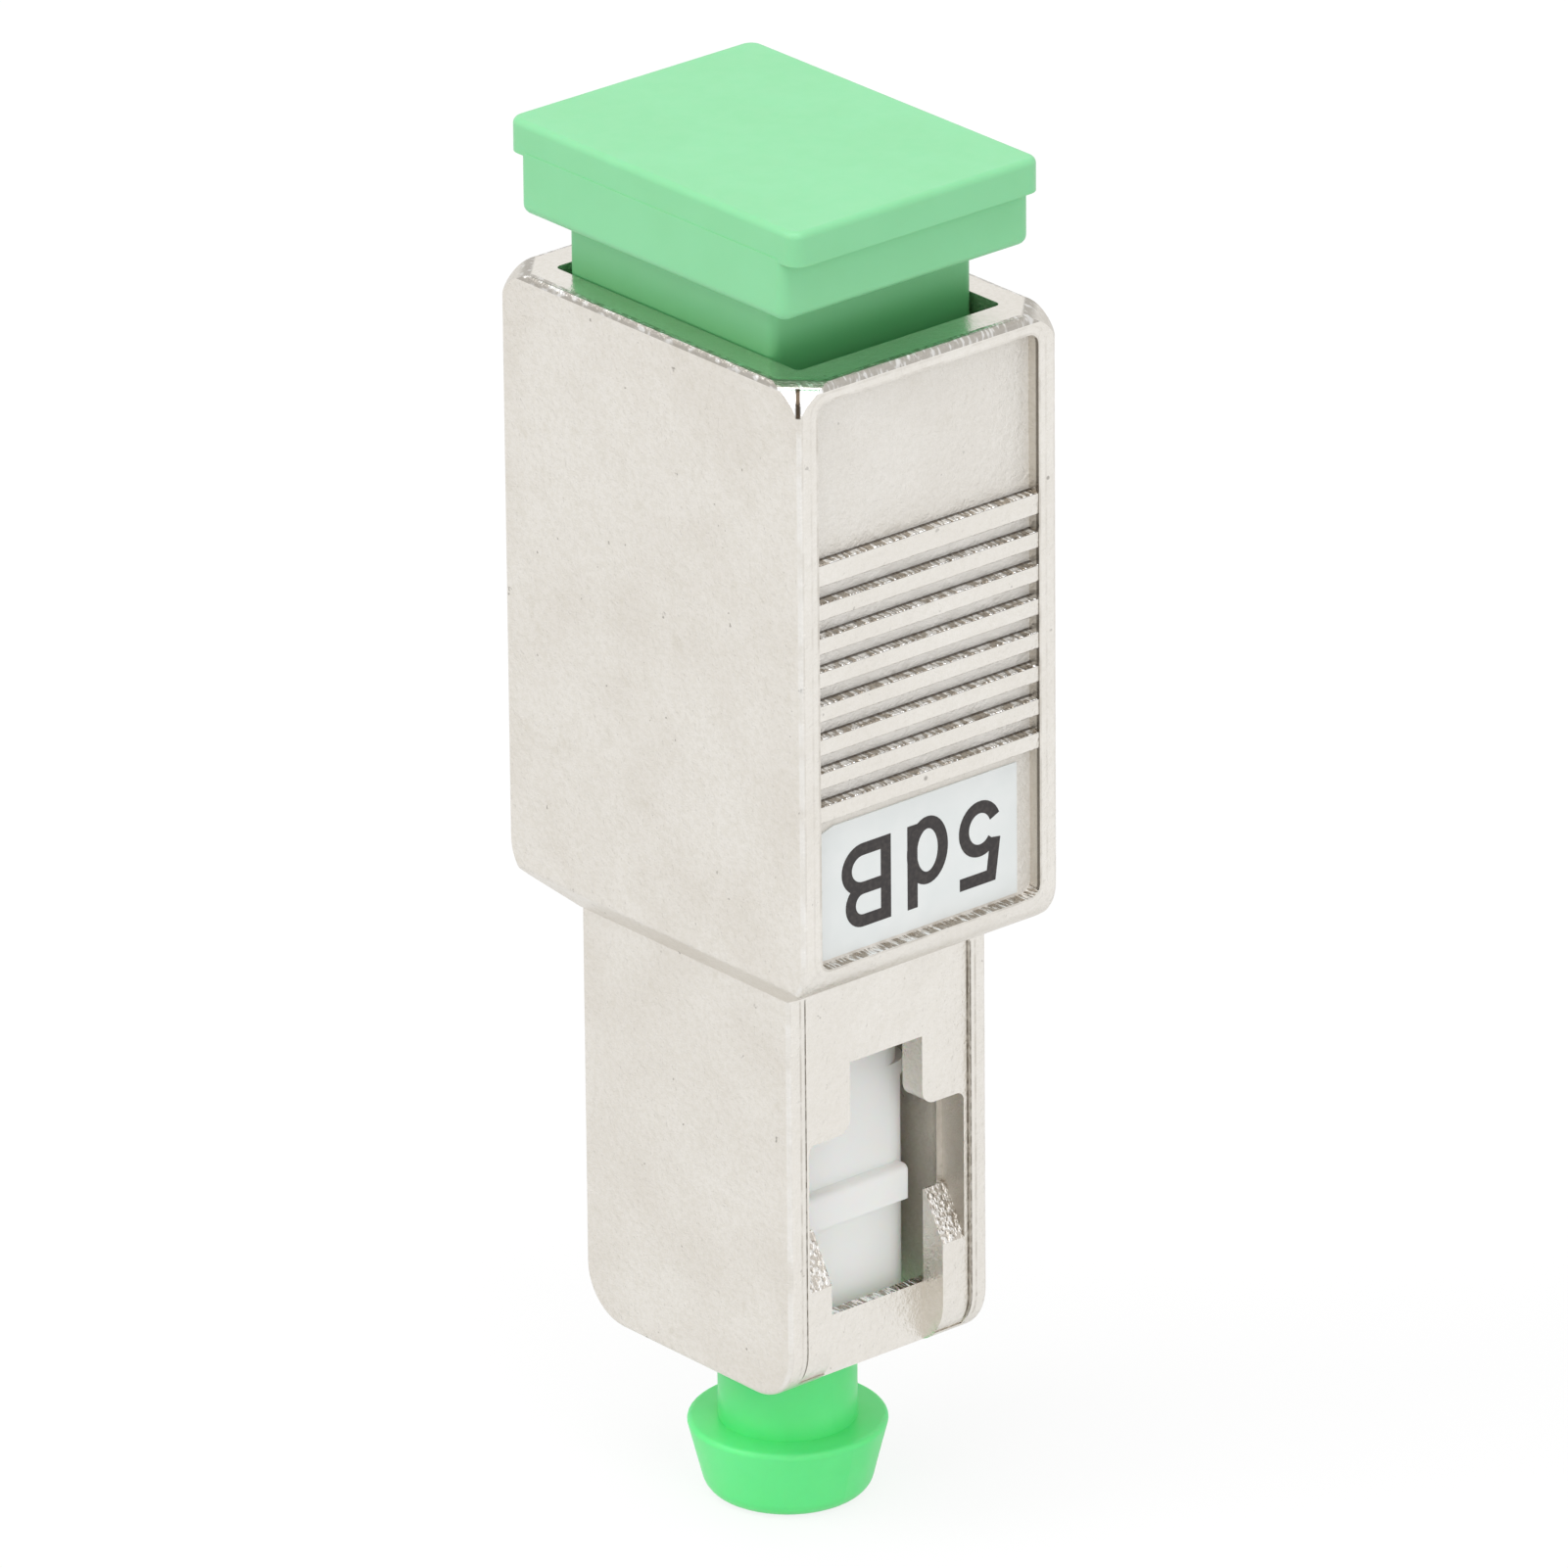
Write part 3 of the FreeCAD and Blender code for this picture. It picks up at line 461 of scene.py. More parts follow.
@dataclass(frozen=True)
class NickelPlatedCasting:
    """Zinc alloy, die cast, tumbled and plated with satin nickel.

    The plate gives a warm grey that scatters broadly, with the pebbled skin of the casting in it
    and faint olive stains. Ledges keep the die's roughness, with painted glints on their grit and
    painted shade where they meet a wall. The rim is ground flat, so it mirrors the plug, and its
    near corner is polished and carries a painted highlight. The narrow faces and the pocket floor
    get painted light, and painted highlights and shade lie along edges, grooves and walls.
    """

    warm: str = "#EAE6DF"
    cool: str = "#E4DFD7"
    stain: str = "#D3CDBF"
    painted_light: str = "#FCF9F4"
    edge: str = "#7F786E"
    dirt_and_shade: str = "#4E4439"
    grit_dark: str = "#B0A699"
    painted_glint: str = "#FFFFFF"
    shade: str = "#A59C8F"
    satin: float = 0.38
    mirror: float = 0.22
    bead_mm: float = 0.14
    bead_tall_mm: float = 0.16
    pebble_tall_mm: float = 0.045
    skin_tall_mm: float = 0.010
    ring_tall_mm: float = 0.003
    pocket_y: float = 4.03
    pocket_low: float = 17.55
    pocket_high: float = 0.57
    pocket_round: float = 0.35
    grip_low: float = 13.15
    grip_high: float = 5.30
    panel_y: float = 3.04
    shell_wall: float = 0.80
    narrow_face_light: float = 0.33
    ring_centre: tuple[float, float, float] = (-0.8, -3.7, 10.2)
    ring_mm: float = 0.42
    corner_way: tuple[float, float] = (0.648, 0.761)
    cover: Cover = Cover()
    marks: tuple[Mark, ...] = (
        Mark((6.365, -1.33, 28.59), 0.15, 0.6),
        Mark((6.395, -0.17, 24.06), 0.10, 0.5),
        Mark((6.395, 4.36, 31.85), 0.08, 0.5),
        Mark((4.40, 1.07, 5.88), 0.11, 0.9),
        Mark((4.50, 2.51, 7.65), 0.12, 0.4),
        Mark((5.965, 1.75, 28.81), 0.10, 0.4),
    )

    def make(self) -> bpy.types.Material:
        """Build the plate's material, layer on layer."""
        shader = CastingShader("nickel_plated_zinc_casting", self.bead_mm)
        colour = self.skin(shader)
        for layer in (self.pocket, self.border, self.shell, self.rim, self.corner):
            colour = layer(shader, colour)
        for mark in self.marks:
            colour = shader.tint(colour, mark.mask(shader), self.dirt_and_shade)
        return shader.finish(
            Base_Color=colour,
            Metallic=shader.math("SUBTRACT", 1.0, shader.math("MULTIPLY", shader.on_floor, 0.6)),
            Roughness=self.roughness(shader),
            Normal=self.relief(shader),
        )

    def skin(self, shader: CastingShader) -> Any:
        """Return the plate's colour: clouds, stains, fine mottling and pits.

        The narrow faces get painted light: a lighter tone than the wide faces.

        Args:
            shader: The casting's material with its masks.

        Returns:
            The socket of the colour.
        """
        cloud = shader.ramp(shader.noise(PerMm.CLOUDS.value, 2.0), 0.3, 0.7)
        colour = shader.blend(cloud, linear(self.cool), linear(self.warm))
        stains = shader.ramp(shader.noise(PerMm.STAINS.value, 4.0, 0.6), 0.58, 0.78)
        colour = shader.tint(colour, shader.all_of(stains, self.cover.stains), self.stain)
        mottle = shader.ramp(shader.noise(PerMm.MOTTLE.value, 3.0, 0.6), 0.40, 0.62)
        colour = shader.tint(colour, shader.all_of(mottle, self.cover.mottle), self.stain)
        pits = shader.ramp(shader.noise(PerMm.PITS.value, 2.0, 0.7), 0.72, 0.78)
        colour = shader.tint(colour, shader.all_of(pits, self.cover.pits), self.dirt_and_shade)
        # painted light: the narrow faces are made lighter
        return shader.tint(colour, shader.all_of(shader.facing_x, self.narrow_face_light), self.painted_light)

    def pocket(self, shader: CastingShader, colour: Any) -> Any:
        """Lay on the grip pocket: painted light on its floor, grit and painted glints on the ledges,
        and painted shade on the sloped ledges and in the corner by the floor.

        Args:
            shader: The casting's material with its masks.
            colour: The colour underneath.

        Returns:
            The colour with this layer on it.
        """
        in_grip = shader.between(shader.z, shader.top - self.grip_low, shader.top - self.grip_high)
        # painted light: the pocket floor between the ribs is made lighter
        ribs = shader.all_of(shader.on_floor, in_grip, self.cover.pocket_floor_light)
        colour = shader.tint(colour, ribs, self.painted_light)
        # painted glints: white dots on the darker grit of the ledges
        bead = shader.ramp(shader.beads, 0.47, 0.55)
        painted_sparkle = shader.blend(bead, linear(self.grit_dark), linear(self.painted_glint))
        colour = shader.blend(shader.all_of(shader.ledges, self.cover.grit), colour, painted_sparkle)
        # painted shade: the sloped ledges are made darker
        sloped = shader.ramp(shader.normal_z, 0.6, 0.8, 1.0, 0.0)
        ramp_shade = shader.all_of(shader.ledges, sloped, self.cover.ramp_shade)
        colour = shader.tint(colour, ramp_shade, self.shade)
        # painted shade: a dark line in the corner where the ledges meet the pocket floor
        crease_shade = shader.all_of(
            shader.ledges,
            shader.in_pocket,
            shader.ramp(shader.z, shader.top - 17.3, shader.top - 16.9),
            shader.ramp(shader.side, shader.floor_x + 0.10, shader.floor_x + 0.17, 1.0, 0.0),
            self.cover.crease_shade,
        )
        return shader.tint(colour, crease_shade, self.dirt_and_shade)

    def border(self, shader: CastingShader, colour: Any) -> Any:
        """Lay on the faint dark lines round the pocket and along the upright edges, and painted
        shade on the pocket's side wall with a darker line along its outer edge.

        Args:
            shader: The casting's material with its masks.
            colour: The colour underneath.

        Returns:
            The colour with this layer on it.
        """
        half_pocket = (self.pocket_low - self.pocket_high) / 2
        middle = shader.top - (self.pocket_low + self.pocket_high) / 2
        outline = shader.from_outline(
            shader.across, shader.z, middle, self.pocket_y, half_pocket, self.pocket_round
        )
        on_border = shader.all_of(
            shader.facing_x, shader.ramp(shader.side, shader.half_x - 0.06, shader.half_x - 0.03)
        )
        lip = shader.all_of(on_border, shader.line(outline, 0.03, 0.06), shader.patches(1.0))
        colour = shader.tint(colour, shader.all_of(lip, self.cover.lip), self.shade)
        rolled = shader.all_of(on_border, shader.line(outline, 0.26, 0.05), shader.patches(2.0))
        colour = shader.tint(colour, shader.all_of(rolled, self.cover.rolled), self.shade)
        shell_y = -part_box("plug_frame")[0][1] / MM + self.shell_wall
        shell_line = shader.all_of(shader.line(shader.across, shell_y, 0.05), shader.on_shell)
        corners = shader.math("MAXIMUM", shader.line(shader.across, shader.half_y - 0.13, 0.05), shell_line)
        near_edge = shader.all_of(shader.facing_x, corners, shader.patches(1.2), self.cover.near_edge)
        colour = shader.tint(colour, near_edge, self.shade)
        # painted shade on the pocket's side wall
        by_wall = shader.ramp(shader.across, self.pocket_y + 0.1, self.pocket_y + 0.2, 1.0, 0.0)
        wall = shader.all_of(shader.facing_y, shader.in_pocket, by_wall)
        colour = shader.tint(colour, shader.all_of(wall, self.cover.pocket_wall_shade), self.shade)
        # painted shade: a dark line along the outer edge of that wall
        brow_line = shader.line(shader.side, shader.half_x - 0.07, 0.08)
        brow_shade = shader.all_of(wall, brow_line, self.cover.brow_shade)
        return shader.tint(colour, brow_shade, self.dirt_and_shade)

    def shell(self, shader: CastingShader, colour: Any) -> Any:
        """Lay on the plug shell: painted shade inside it, painted shade in the seam's groove, and a
        dark line at the fold beside the window panel.

        Args:
            shader: The casting's material with its masks.
            colour: The colour underneath.

        Returns:
            The colour with this layer on it.
        """
        # painted shade: the inside is darker the deeper it lies
        depth = shader.ramp(shader.side, self.panel_y, 4.4, 0.15, 0.65)
        colour = shader.tint(colour, shader.all_of(shader.inside, depth), self.shade)
        # painted shade: a dark line in the groove of the seam
        seam = shader.all_of(
            shader.line(shader.across, self.panel_y, 0.07),
            shader.facing_x,
            shader.on_shell,
            shader.ramp(shader.grain, 0.0, 1.0, 0.6, 1.0),
        )
        colour = shader.tint(colour, seam, self.edge)
        fold = shader.all_of(
            shader.line(shader.across, self.panel_y + 0.20, 0.05),
            shader.facing_x,
            shader.patches(2.0),
            shader.on_shell,
            self.cover.fold,
        )
        return shader.tint(colour, fold, self.shade)

    def rim(self, shader: CastingShader, colour: Any) -> Any:
        """Lay on painted highlights along the rounded upright edges, and the ground rim with a darker
        band along its edge and painted glints on it.

        Args:
            shader: The casting's material with its masks.
            colour: The colour underneath.

        Returns:
            The colour with this layer on it.
        """
        above = shader.math("SUBTRACT", 1.0, shader.below_rim)
        bevel = shader.all_of(
            shader.ramp(shader.normal_z, 0.05, 0.15), above, shader.math("SUBTRACT", 1.0, shader.on_top)
        )
        brink = shader.math(
            "MAXIMUM",
            shader.ramp(shader.side, shader.half_x - 0.30, shader.half_x - 0.24),
            shader.ramp(shader.across, shader.half_y - 0.26, shader.half_y - 0.20),
        )
        flat_brink = shader.all_of(shader.on_top, brink)
        band = shader.math("MAXIMUM", bevel, shader.all_of(flat_brink, shader.grain))
        tilt = shader.math("ABSOLUTE", shader.math("MULTIPLY", shader.normal_x, shader.normal_y))
        straight = shader.ramp(tilt, 0.05, 0.15, 1.0, 0.35)
        # painted highlight along the rounded upright edges
        edge_highlight = shader.all_of(shader.ramp(tilt, 0.25, 0.45), shader.below_rim, shader.patches(1.5))
        colour = shader.tint(colour, shader.all_of(edge_highlight, self.cover.edge_highlight), self.painted_glint)
        # a darker band along the rim's edge
        colour = shader.tint(colour, shader.all_of(band, straight, self.cover.rim_dark_band), self.edge)
        # painted glints: white streaks along the rim's edge
        fine = shader.ramp(shader.streaks((0.30, 0.12, 0.30)), 0.50, 0.68)
        bright = shader.all_of(shader.math("MAXIMUM", bevel, flat_brink), straight, fine)
        return shader.tint(colour, shader.all_of(bright, self.cover.rim_glints), self.painted_glint)

    def corner(self, shader: CastingShader, colour: Any) -> Any:
        """Lay on a painted highlight on the polished near corner of the rim, with the dark slit down its
        middle.

        Args:
            shader: The casting's material with its masks.
            colour: The colour underneath.

        Returns:
            The colour with this layer on it.
        """
        # painted highlight on the polished near corner
        colour = shader.tint(colour, shader.buffed_and_highlit, self.painted_glint)
        way_x, way_y = self.corner_way
        part_x = shader.math("MULTIPLY", shader.x, way_x)
        offset = shader.math("ADD", part_x, shader.math("MULTIPLY", shader.y, way_y))
        ridge = way_x * shader.half_x - way_y * shader.half_y
        slit = shader.all_of(
            shader.line(offset, ridge - 0.01, 0.10),
            shader.between(shader.z, shader.top - 0.85, shader.top - 0.10),
            shader.near_corner,
        )
        return shader.tint(colour, slit, self.dirt_and_shade)

    def roughness(self, shader: CastingShader) -> Any:
        """Return the roughness: satin, smoother on the rim and the ledges, duller in the pocket.

        Args:
            shader: The casting's material with its masks.

        Returns:
            The socket of the roughness.
        """
        handled = shader.noise(PerMm.HANDLING.value, 3.0)
        rough = shader.ramp(handled, 0.3, 0.7, self.satin - 0.04, self.satin + 0.05)
        smooth = shader.math("MAXIMUM", shader.on_top, shader.buffed_and_highlit)
        rough = shader.math("SUBTRACT", rough, shader.math("MULTIPLY", smooth, self.satin - self.mirror))
        rough = shader.math("SUBTRACT", rough, shader.math("MULTIPLY", shader.ledges, 0.20), clamp=True)
        rough = shader.math("ADD", rough, shader.math("MULTIPLY", shader.inside, 0.20), clamp=True)
        return shader.math("ADD", rough, shader.math("MULTIPLY", shader.on_floor, 0.15), clamp=True)

    def relief(self, shader: CastingShader) -> Any:
        """Return the normal: pebbles and fine skin, grit on the ledges, and the tumbling's rings.

        Args:
            shader: The casting's material with its masks.

        Returns:
            The socket of the normal.
        """
        smooth = shader.math("MAXIMUM", shader.on_top, shader.buffed_and_highlit)
        matt = shader.math("SUBTRACT", 1.0, shader.math("MULTIPLY", smooth, 0.75))
        pebbles = shader.math("MULTIPLY", shader.noise(PerMm.PEBBLES.value, 3.0, 0.6), matt)
        fine = shader.math("MULTIPLY", shader.noise(PerMm.FINE_SKIN.value, 1.0), matt)
        normal = shader.bump(pebbles, self.pebble_tall_mm)
        normal = shader.bump(fine, self.skin_tall_mm, normal)
        normal = shader.bump(shader.math("MULTIPLY", shader.beads, shader.ledges), self.bead_tall_mm, normal)
        return shader.bump(self.rings(shader), self.ring_tall_mm, normal)

    def rings(self, shader: CastingShader) -> Any:
        """Return the height of the faint rings that tumbling left on the shell's wide faces.

        Args:
            shader: The casting's material with its masks.

        Returns:
            The socket of the height, 0 to 1.
        """
        away = shader.distance(self.ring_centre)
        wave = shader.math("SINE", shader.math("MULTIPLY", away, 2 * math.pi / self.ring_mm))
        inside = shader.all_of(shader.facing_y, shader.ramp(away, 3.5, 5.5, 1.0, 0.0), shader.patches(0.8))
        return shader.math("MULTIPLY", shader.ramp(wave, -1.0, 1.0), inside)


@dataclass(frozen=True)
class MouldedPlastic:
    """Plastic as moulded: even colour, a fine skin from the tool, a little light inside.

    Where deep is given, the colour turns to it from deep_high down to deep_low, as light is lost
    between the plug's neck and the walls round it.
    """

    name: str
    colour: str
    shade: str
    roughness: float
    ior: float = 1.53
    glow_mm: float = 0.4
    glow: float = 0.15
    skin_per_mm: float = 9.0
    skin_mm: float = 0.0015
    deep: str = ""
    deep_low: float = 0.0
    deep_high: float = 0.0

    def make(self) -> bpy.types.Material:
        """Build the plastic's material."""
        shader = Shader(self.name)
        cloud = shader.ramp(shader.noise(0.45, 3.0), 0.35, 0.65)
        colour = shader.blend(cloud, linear(self.shade), linear(self.colour))
        if self.deep:
            _, _, z = shader.axes(shader.millimetres)
            down = shader.ramp(z, self.deep_low, self.deep_high, 1.0, 0.0)
            colour = shader.tint(colour, down, self.deep)
        low = self.roughness - 0.03
        high = self.roughness + 0.04
        rough = shader.ramp(shader.noise(1.6, 3.0), 0.3, 0.7, low, high)
        normal = shader.bump(shader.noise(self.skin_per_mm, 2.0), self.skin_mm)
        return shader.finish(
            Base_Color=colour,
            Roughness=rough,
            IOR=self.ior,
            Subsurface_Weight=self.glow,
            Subsurface_Scale=self.glow_mm * MM,
            Normal=normal,
        )


@dataclass(frozen=True)
class BrightMetal:
    """Drawn or plated small metalwork: bright, with faint lines round its axis."""

    name: str
    colour: str
    shade: str
    roughness: float
    lines_per_mm: float = 14.0

    def make(self) -> bpy.types.Material:
        """Build the metal's material."""
        shader = Shader(self.name)
        colour = shader.blend(shader.noise(1.2, 2.0), linear(self.shade), linear(self.colour))
        _, _, z = shader.axes(shader.millimetres)
        wave = shader.math("SINE", shader.math("MULTIPLY", z, self.lines_per_mm * 2 * math.pi))
        normal = shader.bump(shader.ramp(wave, -1.0, 1.0), 0.0006)
        rough = shader.ramp(shader.noise(3.0, 2.0), 0.3, 0.7, self.roughness - 0.05, self.roughness + 0.06)
        return shader.finish(Base_Color=colour, Metallic=1.0, Roughness=rough, Normal=normal)


@dataclass(frozen=True)
class DrawnSilica:
    """Optical fibre of fused silica: clear, with a smooth drawn surface."""

    tint: str = "#EEF4F6"
    deep: str = "#E4EEF2"

    def make(self) -> bpy.types.Material:
        """Build the glass."""
        shader = Shader("drawn_silica_fibre")
        colour = shader.blend(shader.noise(4.0), linear(self.deep), linear(self.tint))
        return shader.finish(Base_Color=colour, Roughness=0.02, IOR=1.458, Transmission_Weight=0.9)


@dataclass(frozen=True)
class LabelFilm:
    """White polyester label film, calendered: smooth, cool white, with a soft gloss."""

    colour: str = "#F3F6F5"
    edge: str = "#EFF3F2"

    def make(self) -> bpy.types.Material:
        """Build the film's material."""
        shader = Shader("white_polyester_label_film")
        cloud = shader.ramp(shader.noise(0.9, 2.0), 0.3, 0.7)
        colour = shader.blend(cloud, linear(self.edge), linear(self.colour))
        normal = shader.bump(shader.noise(2.2, 2.0), 0.003)
        return shader.finish(Base_Color=colour, Roughness=0.38, IOR=1.5, Normal=normal)


@dataclass(frozen=True)
class LabelInk:
    """Thermal transfer ink: warm near-black, slightly uneven where it covers the film."""

    colour: str = "#2C2727"
    thin: str = "#3E3836"

    def make(self) -> bpy.types.Material:
        """Build the ink's material."""
        shader = Shader("thermal_transfer_ink")
        cover = shader.ramp(shader.noise(7.0, 3.0), 0.4, 0.7)
        colour = shader.blend(cover, linear(self.colour), linear(self.thin))
        return shader.finish(Base_Color=colour, Roughness=0.45, IOR=1.5)


def paint(node: str, material: bpy.types.Material) -> None:
    """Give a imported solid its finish.

    Args:
        node: The solid's name.
        material: The finish for its whole surface.
    """
    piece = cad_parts[node]
    piece.data.materials.clear()
    piece.data.materials.append(material)
    LOG.info("%s in %s", node, material.name)


@dataclass
class Housing:
    """The die-cast housing, in satin nickel."""

    finish: NickelPlatedCasting = field(default_factory=NickelPlatedCasting)

    def build(self) -> None:
        """Dress the casting."""
        paint("metal_housing", self.finish.make())


def arc(centre: tuple[float, float], reach: tuple[float, float], first: float, last: float) -> list[Any]:
    """Return points along an elliptical arc.

    Args:
        centre: The arc's centre.
        reach: Its half width and half height.
        first: Angle of the first point, in degrees.
        last: Angle of the last point, in degrees.

    Returns:
        Points a few degrees apart, first and last included.
    """
    count = max(2, round(abs(last - first) / 9))
    angles = [math.radians(first + (last - first) * at / count) for at in range(count + 1)]
    return [(centre[0] + reach[0] * math.cos(t), centre[1] + reach[1] * math.sin(t)) for t in angles]


@dataclass
class ValueLabel:
    """The label film and the value printed on it, upside down as on the object.

    Each character is drawn by pen strokes, in millimetres as it reads, from its lower left corner.
    """

    film: LabelFilm = field(default_factory=LabelFilm)
    ink: LabelInk = field(default_factory=LabelInk)
    ink_thick: float = 0.006
    ink_step: float = 0.001
    pen: float = 0.37
    capital: float = 2.53
    foot_z: float = 22.58
    five_y: float = 2.88
    d_y: float = 0.93
    b_y: float = -1.18
    same_point: float = 1e-6

    def five(self) -> list[list[Any]]:
        """Return the strokes of the digit."""
        high = self.capital - self.pen / 2
        bowl = arc((0.77, 0.82), (0.59, 0.66), 142, -158)
        return [[(1.52, high), (0.36, high), (0.195, 1.22)], bowl]

    def small_d(self) -> list[list[Any]]:
        """Return the strokes of the lower case letter."""
        stem = 1.50 - self.pen / 2
        return [[(stem, 0.0), (stem, self.capital)], arc((0.76, 0.90), (0.57, 0.84), 0, 360)]

    def capital_b(self) -> list[list[Any]]:
        """Return the strokes of the capital letter."""
        half = self.pen / 2
        high = self.capital - half
        middle = 1.36
        upper = arc((1.02, (high + middle) / 2), (0.46, (high - middle) / 2), 90, -90)
        lower = arc((1.02, (middle + half) / 2), (0.60, (middle - half) / 2), 90, -90)
        top_bowl = [(half, high)] + upper + [(half, middle), (half, high)]
        return [top_bowl, lower + [(half, half), (half, middle)]]

    def draw(self, strokes: list[list[Any]], start_y: float) -> list[Any]:
        """Turn a character's strokes into solid ink on the label's face.

        Args:
            strokes: Centre lines, each a list of points in millimetres.
            start_y: Y of the character's left edge as it reads, in millimetres.

        Returns:
            One mesh object for each stroke, at the origin.
        """
        face_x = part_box("value_label")[1][0]
        pieces = []
        for order, stroke in enumerate(strokes):
            points = [(face_x, (start_y - across) * MM, (self.foot_z - up) * MM) for across, up in stroke]
            thick = (self.ink_thick + order * self.ink_step) * MM
            pieces.append(self.ink_stroke(points, thick))
        return pieces

    def ink_stroke(self, points: list[Any], thick: float) -> Any:
        """Draw one stroke of the pen as solid ink.

        Args:
            points: The stroke's centre line in metres, closed where it ends as it began.
            thick: How far the ink stands off the film, in metres.

        Returns:
            The stroke's mesh object, at the origin.
        """
        bpy.ops.object.select_all(action="DESELECT")
        bpy.ops.mesh.primitive_plane_add()
        piece = bpy.context.object
        bpy.ops.object.mode_set(mode="EDIT")
        bpy.ops.mesh.select_all(action="SELECT")
        bpy.ops.mesh.delete(type="VERT")
        bpy.ops.object.mode_set(mode="OBJECT")
        closed = math.dist(points[0], points[-1]) < self.same_point * MM
        count = len(points) - closed
        edges = [(at, (at + 1) % count) for at in range(len(points) - 1)]
        piece.data.from_pydata(points[:count], edges, [])
        bpy.ops.object.mode_set(mode="EDIT")
        bpy.ops.mesh.select_all(action="SELECT")
        bpy.ops.mesh.extrude_region_move(TRANSFORM_OT_translate={"value": (thick, 0, 0)})
        bpy.ops.object.mode_set(mode="OBJECT")
        nib = piece.modifiers.new("nib", "SOLIDIFY")
        nib.thickness = self.pen * MM
        nib.offset = 0.0
        nib.use_even_offset = True
        bpy.ops.object.modifier_apply(modifier="nib")
        bpy.ops.object.mode_set(mode="EDIT")
        bpy.ops.mesh.select_all(action="SELECT")
        bpy.ops.mesh.normals_make_consistent(inside=False)
        bpy.ops.object.mode_set(mode="OBJECT")
        return piece

    def build(self) -> None:
        """Dress the film and print the value."""
        paint("value_label", self.film.make())
        pieces = self.draw(self.five(), self.five_y)
        pieces += self.draw(self.small_d(), self.d_y)
        pieces += self.draw(self.capital_b(), self.b_y)
        bpy.ops.object.select_all(action="DESELECT")
        for piece in pieces:
            piece.select_set(True)
        bpy.context.view_layer.objects.active = pieces[0]
        bpy.ops.object.join()
        print_piece = bpy.context.object
        print_piece.name = "value_print"
        print_piece.data.materials.clear()
        print_piece.data.materials.append(self.ink.make())
        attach(print_piece, "housing")
        LOG.info("value_print on the label")


@dataclass
class CoilSpring:
    """The ferrule's spring, wound as one true helix between the faces that hold it.
    """

    steel: BrightMetal = BrightMetal("drawn_spring_steel", "#B9B9BA", "#AEAEB0", 0.28)
    wire: float = 0.36
    pitch: float = 0.675
    wire_sides: int = 16
    turn_steps: int = 28

    def build(self) -> None:
        """Wind the coil between the two faces that hold it."""
        low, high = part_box("ferrule_spring")
        coil_radius = high[0] - self.wire * MM / 2
        climb = high[2] - low[2] - self.wire * MM
        turns = round(climb / (self.pitch * MM))
        bpy.ops.object.select_all(action="DESELECT")
        bpy.ops.mesh.primitive_circle_add(vertices=self.wire_sides, radius=self.wire * MM / 2)
        coil = bpy.context.object
        coil.name = "ferrule_coil"
        bpy.ops.object.mode_set(mode="EDIT")
        bpy.ops.mesh.select_all(action="SELECT")
        bpy.ops.transform.rotate(value=math.pi / 2, orient_axis="X")
        bpy.ops.transform.translate(value=(coil_radius, 0, low[2] + self.wire * MM / 2))
        bpy.ops.object.mode_set(mode="OBJECT")
        winding = coil.modifiers.new("winding", "SCREW")
        winding.axis = "Z"
        winding.angle = 2 * math.pi
        winding.iterations = turns
        winding.screw_offset = climb / turns
        winding.steps = winding.render_steps = self.turn_steps
        winding.use_smooth_shade = True
        bpy.ops.object.modifier_apply(modifier="winding")
        bpy.ops.object.mode_set(mode="EDIT")
        bpy.ops.mesh.select_all(action="SELECT")
        bpy.ops.mesh.fill_holes(sides=self.wire_sides)
        bpy.ops.mesh.normals_make_consistent(inside=False)
        bpy.ops.object.mode_set(mode="OBJECT")
        coil.data.materials.append(self.steel.make())
        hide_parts("ferrule_spring")
        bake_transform(coil)
        LOG.info("ferrule_coil of %d turns", turns)


@dataclass
class Insides:
    """The plug frame, the latch insert with its sleeve, and the sprung ferrule."""

    frame_plastic: MouldedPlastic = MouldedPlastic(
        "white_polyester_moulding", "#FDFEFB", "#FBFCF9", 0.36, glow=0.25, glow_mm=0.3
    )
    insert_plastic: MouldedPlastic = MouldedPlastic(
        "natural_polyester_moulding", "#E2DFD3", "#D9D6C9", 0.45, glow=0.2
    )
    zirconia: MouldedPlastic = MouldedPlastic(
        "polished_zirconia_ceramic", "#F2F0E8", "#ECE9E0", 0.12, ior=2.15, glow=0.1, skin_mm=0.0002
    )
    fibre: DrawnSilica = field(default_factory=DrawnSilica)
    brass: BrightMetal = BrightMetal("nickel_plated_brass", "#D8D2C2", "#CFC8B6", 0.24)
    spring: CoilSpring = field(default_factory=CoilSpring)

    def build(self) -> None:
        """Dress each inner piece."""
        paint("plug_frame", self.frame_plastic.make())
        insert = self.insert_plastic.make()
        paint("latch_insert", insert)
        paint("sleeve_retainer", insert)
        ceramic = self.zirconia.make()
        paint("split_sleeve", ceramic)
        paint("ferrule", ceramic)
        paint("doped_fibre", self.fibre.make())
        paint("ferrule_flange", self.brass.make())
        paint("ferrule_spring", self.spring.steel.make())
        self.spring.build()


@dataclass
class DustCovers:
    """The pale green plug in the receptacle and the bright green cap on the ferrule."""

    plug: MouldedPlastic = MouldedPlastic(
        "pale_green_polyethylene_moulding",
        "#8AD9A0",
        "#88D79D",
        0.42,
        glow=0.08,
        glow_mm=0.25,
        deep="#5BAC6B",
        deep_low=36.7,
        deep_high=38.5,
    )
    cap: MouldedPlastic = MouldedPlastic(
        "bright_green_polyethylene_moulding", "#69F892", "#63F48C", 0.38, glow=0.3, glow_mm=0.5
    )

    def build(self) -> None:
        """Dress both covers."""
        paint("port_dust_plug", self.plug.make())
        paint("ferrule_cap", self.cap.make())


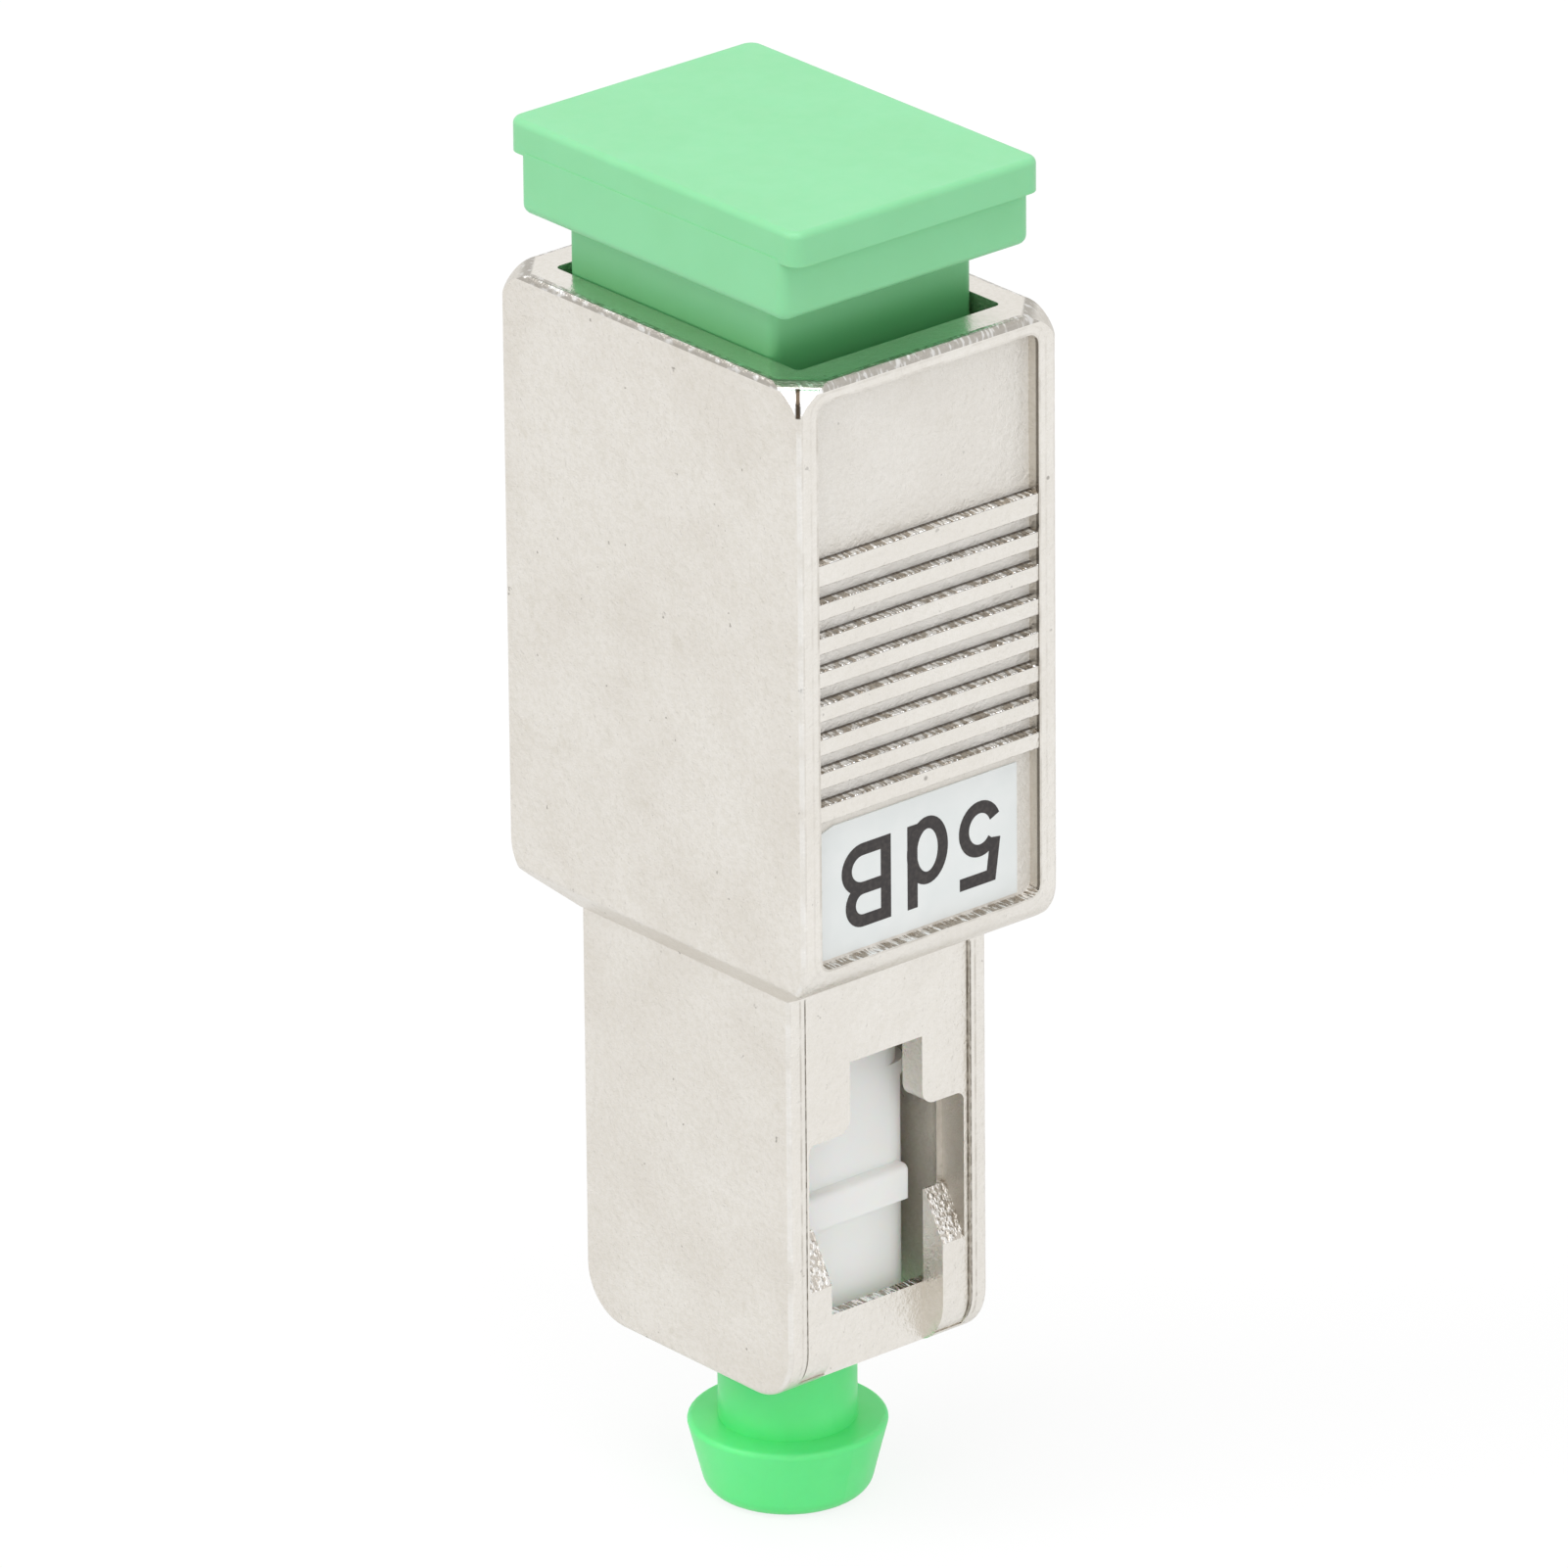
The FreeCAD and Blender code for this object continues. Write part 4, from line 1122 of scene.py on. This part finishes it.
@dataclass
class PhotoCamera:
    """The photograph's view of the object, solved from its edges."""

    azimuth: float = 49.5846
    elevation: float = 23.2864
    roll: float = -0.531
    distance: float = 489.11 * MM
    aim_right: float = 0.0582 * MM
    aim_up: float = 21.7919 * MM
    image_px: int = 1601
    focal_px: float = 17775.95
    sensor: float = 36.0

    def build(self) -> None:
        """Place the camera and make it the scene's own."""
        turn = math.radians(self.azimuth)
        rise = math.radians(self.elevation)
        back = Vector((math.sin(turn) * math.cos(rise), -math.cos(turn) * math.cos(rise), math.sin(rise)))
        right = Vector((math.cos(turn), math.sin(turn), 0))
        target = right * self.aim_right + Vector((0, 0, self.aim_up))
        axes = Matrix((right, back.cross(right), back)).transposed()
        axes = axes @ Matrix.Rotation(math.radians(self.roll), 3, "Z")
        bpy.ops.object.camera_add()
        camera = bpy.context.object
        camera.name = "photo_camera"
        camera.data.sensor_width = self.sensor
        camera.data.lens = self.focal_px / self.image_px * self.sensor
        camera.data.clip_start = 0.01
        camera.data.clip_end = 20.0
        camera.matrix_world = Matrix.Translation(target + back * self.distance) @ axes.to_4x4()
        bpy.context.scene.camera = camera


@dataclass(frozen=True)
class Lamp:
    """A round soft lamp that shines on the object: its place and size in metres, and its watts."""

    name: str
    place: tuple[float, float, float]
    size: float
    power: float

    def build(self, aim: Vector) -> None:
        """Hang the lamp.

        Args:
            aim: The point that it shines on.
        """
        bpy.ops.object.light_add(type="AREA", location=self.place)
        lamp = bpy.context.object
        lamp.name = self.name
        lamp.data.shape = "DISK"
        lamp.data.size = self.size
        lamp.data.energy = self.power
        lamp.rotation_euler = (aim - Vector(self.place)).to_track_quat("-Z", "Y").to_euler()


@dataclass
class Studio:
    """Plain pale floor, white surroundings and soft lamps."""

    floor_size: float = 6.0
    paper_dark: str = "#DEDEDE"
    paper_light: str = "#E2E2E2"
    paper_glow: float = 1.06
    paper_share: float = 0.80
    surround: float = 0.70
    aim_z: float = 0.02
    lamps: tuple[Lamp, ...] = (
        Lamp("key_lamp", (-0.35, -0.85, 1.00), 0.70, 4.5),
        Lamp("fill_lamp", (1.00, -0.25, 0.60), 0.70, 1.5),
        Lamp("top_lamp", (0.25, -0.30, 1.20), 0.80, 4.2),
    )

    def build(self) -> None:
        """Make the floor, the world and the lamps."""
        bpy.ops.mesh.primitive_plane_add(size=self.floor_size)
        floor = bpy.context.object
        floor.name = "pale_floor"
        floor.data.materials.append(self.floor_paint())
        self.world()
        for lamp in self.lamps:
            lamp.build(Vector((0, 0, self.aim_z)))

    def seen(self, tree: bpy.types.NodeTree) -> Any:
        """Return 1 where the eye, a mirror or glass sees the surroundings, else 0.

        Args:
            tree: The node tree that asks.

        Returns:
            The socket of the answer.
        """
        path = add_node(tree, "LightPath")
        rays = {0: path.outputs["Is Camera Ray"], 1: path.outputs["Is Glossy Ray"]}
        glossy = add_node(tree, "Math", rays, operation="MAXIMUM")
        rays = {0: glossy.outputs[0], 1: path.outputs["Is Transmission Ray"]}
        return add_node(tree, "Math", rays, operation="MAXIMUM").outputs[0]

    def floor_paint(self) -> bpy.types.Material:
        """Matt white paper that shows white and keeps a faint shadow."""
        shader = Shader("matt_white_paper")
        fibre = shader.noise(0.05, 2.0)
        colour = shader.blend(fibre, linear(self.paper_dark), linear(self.paper_light))
        paper = shader.add("BsdfDiffuse", {"Color": colour})
        glow = shader.add("Emission", {"Color": (1, 1, 1, 1), "Strength": self.paper_glow})
        amount = shader.math("MULTIPLY", self.seen(shader.tree), self.paper_share)
        mix = shader.add("MixShader", {0: amount, 1: paper.outputs[0], 2: glow.outputs[0]})
        shader.tree.links.new(mix.outputs[0], shader.output.inputs[0])
        return shader.material

    def world(self) -> None:
        """White surroundings at a plain level, seen as full white."""
        world = bpy.data.worlds.new("white_studio")
        world.use_nodes = True
        bpy.context.scene.world = world
        tree = world.node_tree
        tree.nodes.clear()
        strength = add_node(
            tree, "MapRange", {"Value": self.seen(tree), "To Min": self.surround, "To Max": 1.0}
        )
        sky = add_node(tree, "Background", {"Color": (1, 1, 1, 1), "Strength": strength.outputs[0]})
        output = add_node(tree, "OutputWorld")
        tree.links.new(sky.outputs[0], output.inputs[0])


def main() -> None:
    """Dress the object and set up the studio."""
    logging.basicConfig(level=logging.INFO, format="%(message)s")
    bpy.context.scene.view_settings.view_transform = "Standard"
    for part in (Housing(), ValueLabel(), Insides(), DustCovers(), Studio(), PhotoCamera()):
        part.build()
        LOG.info("%s done", type(part).__name__)


if __name__ == "__main__":
    main()
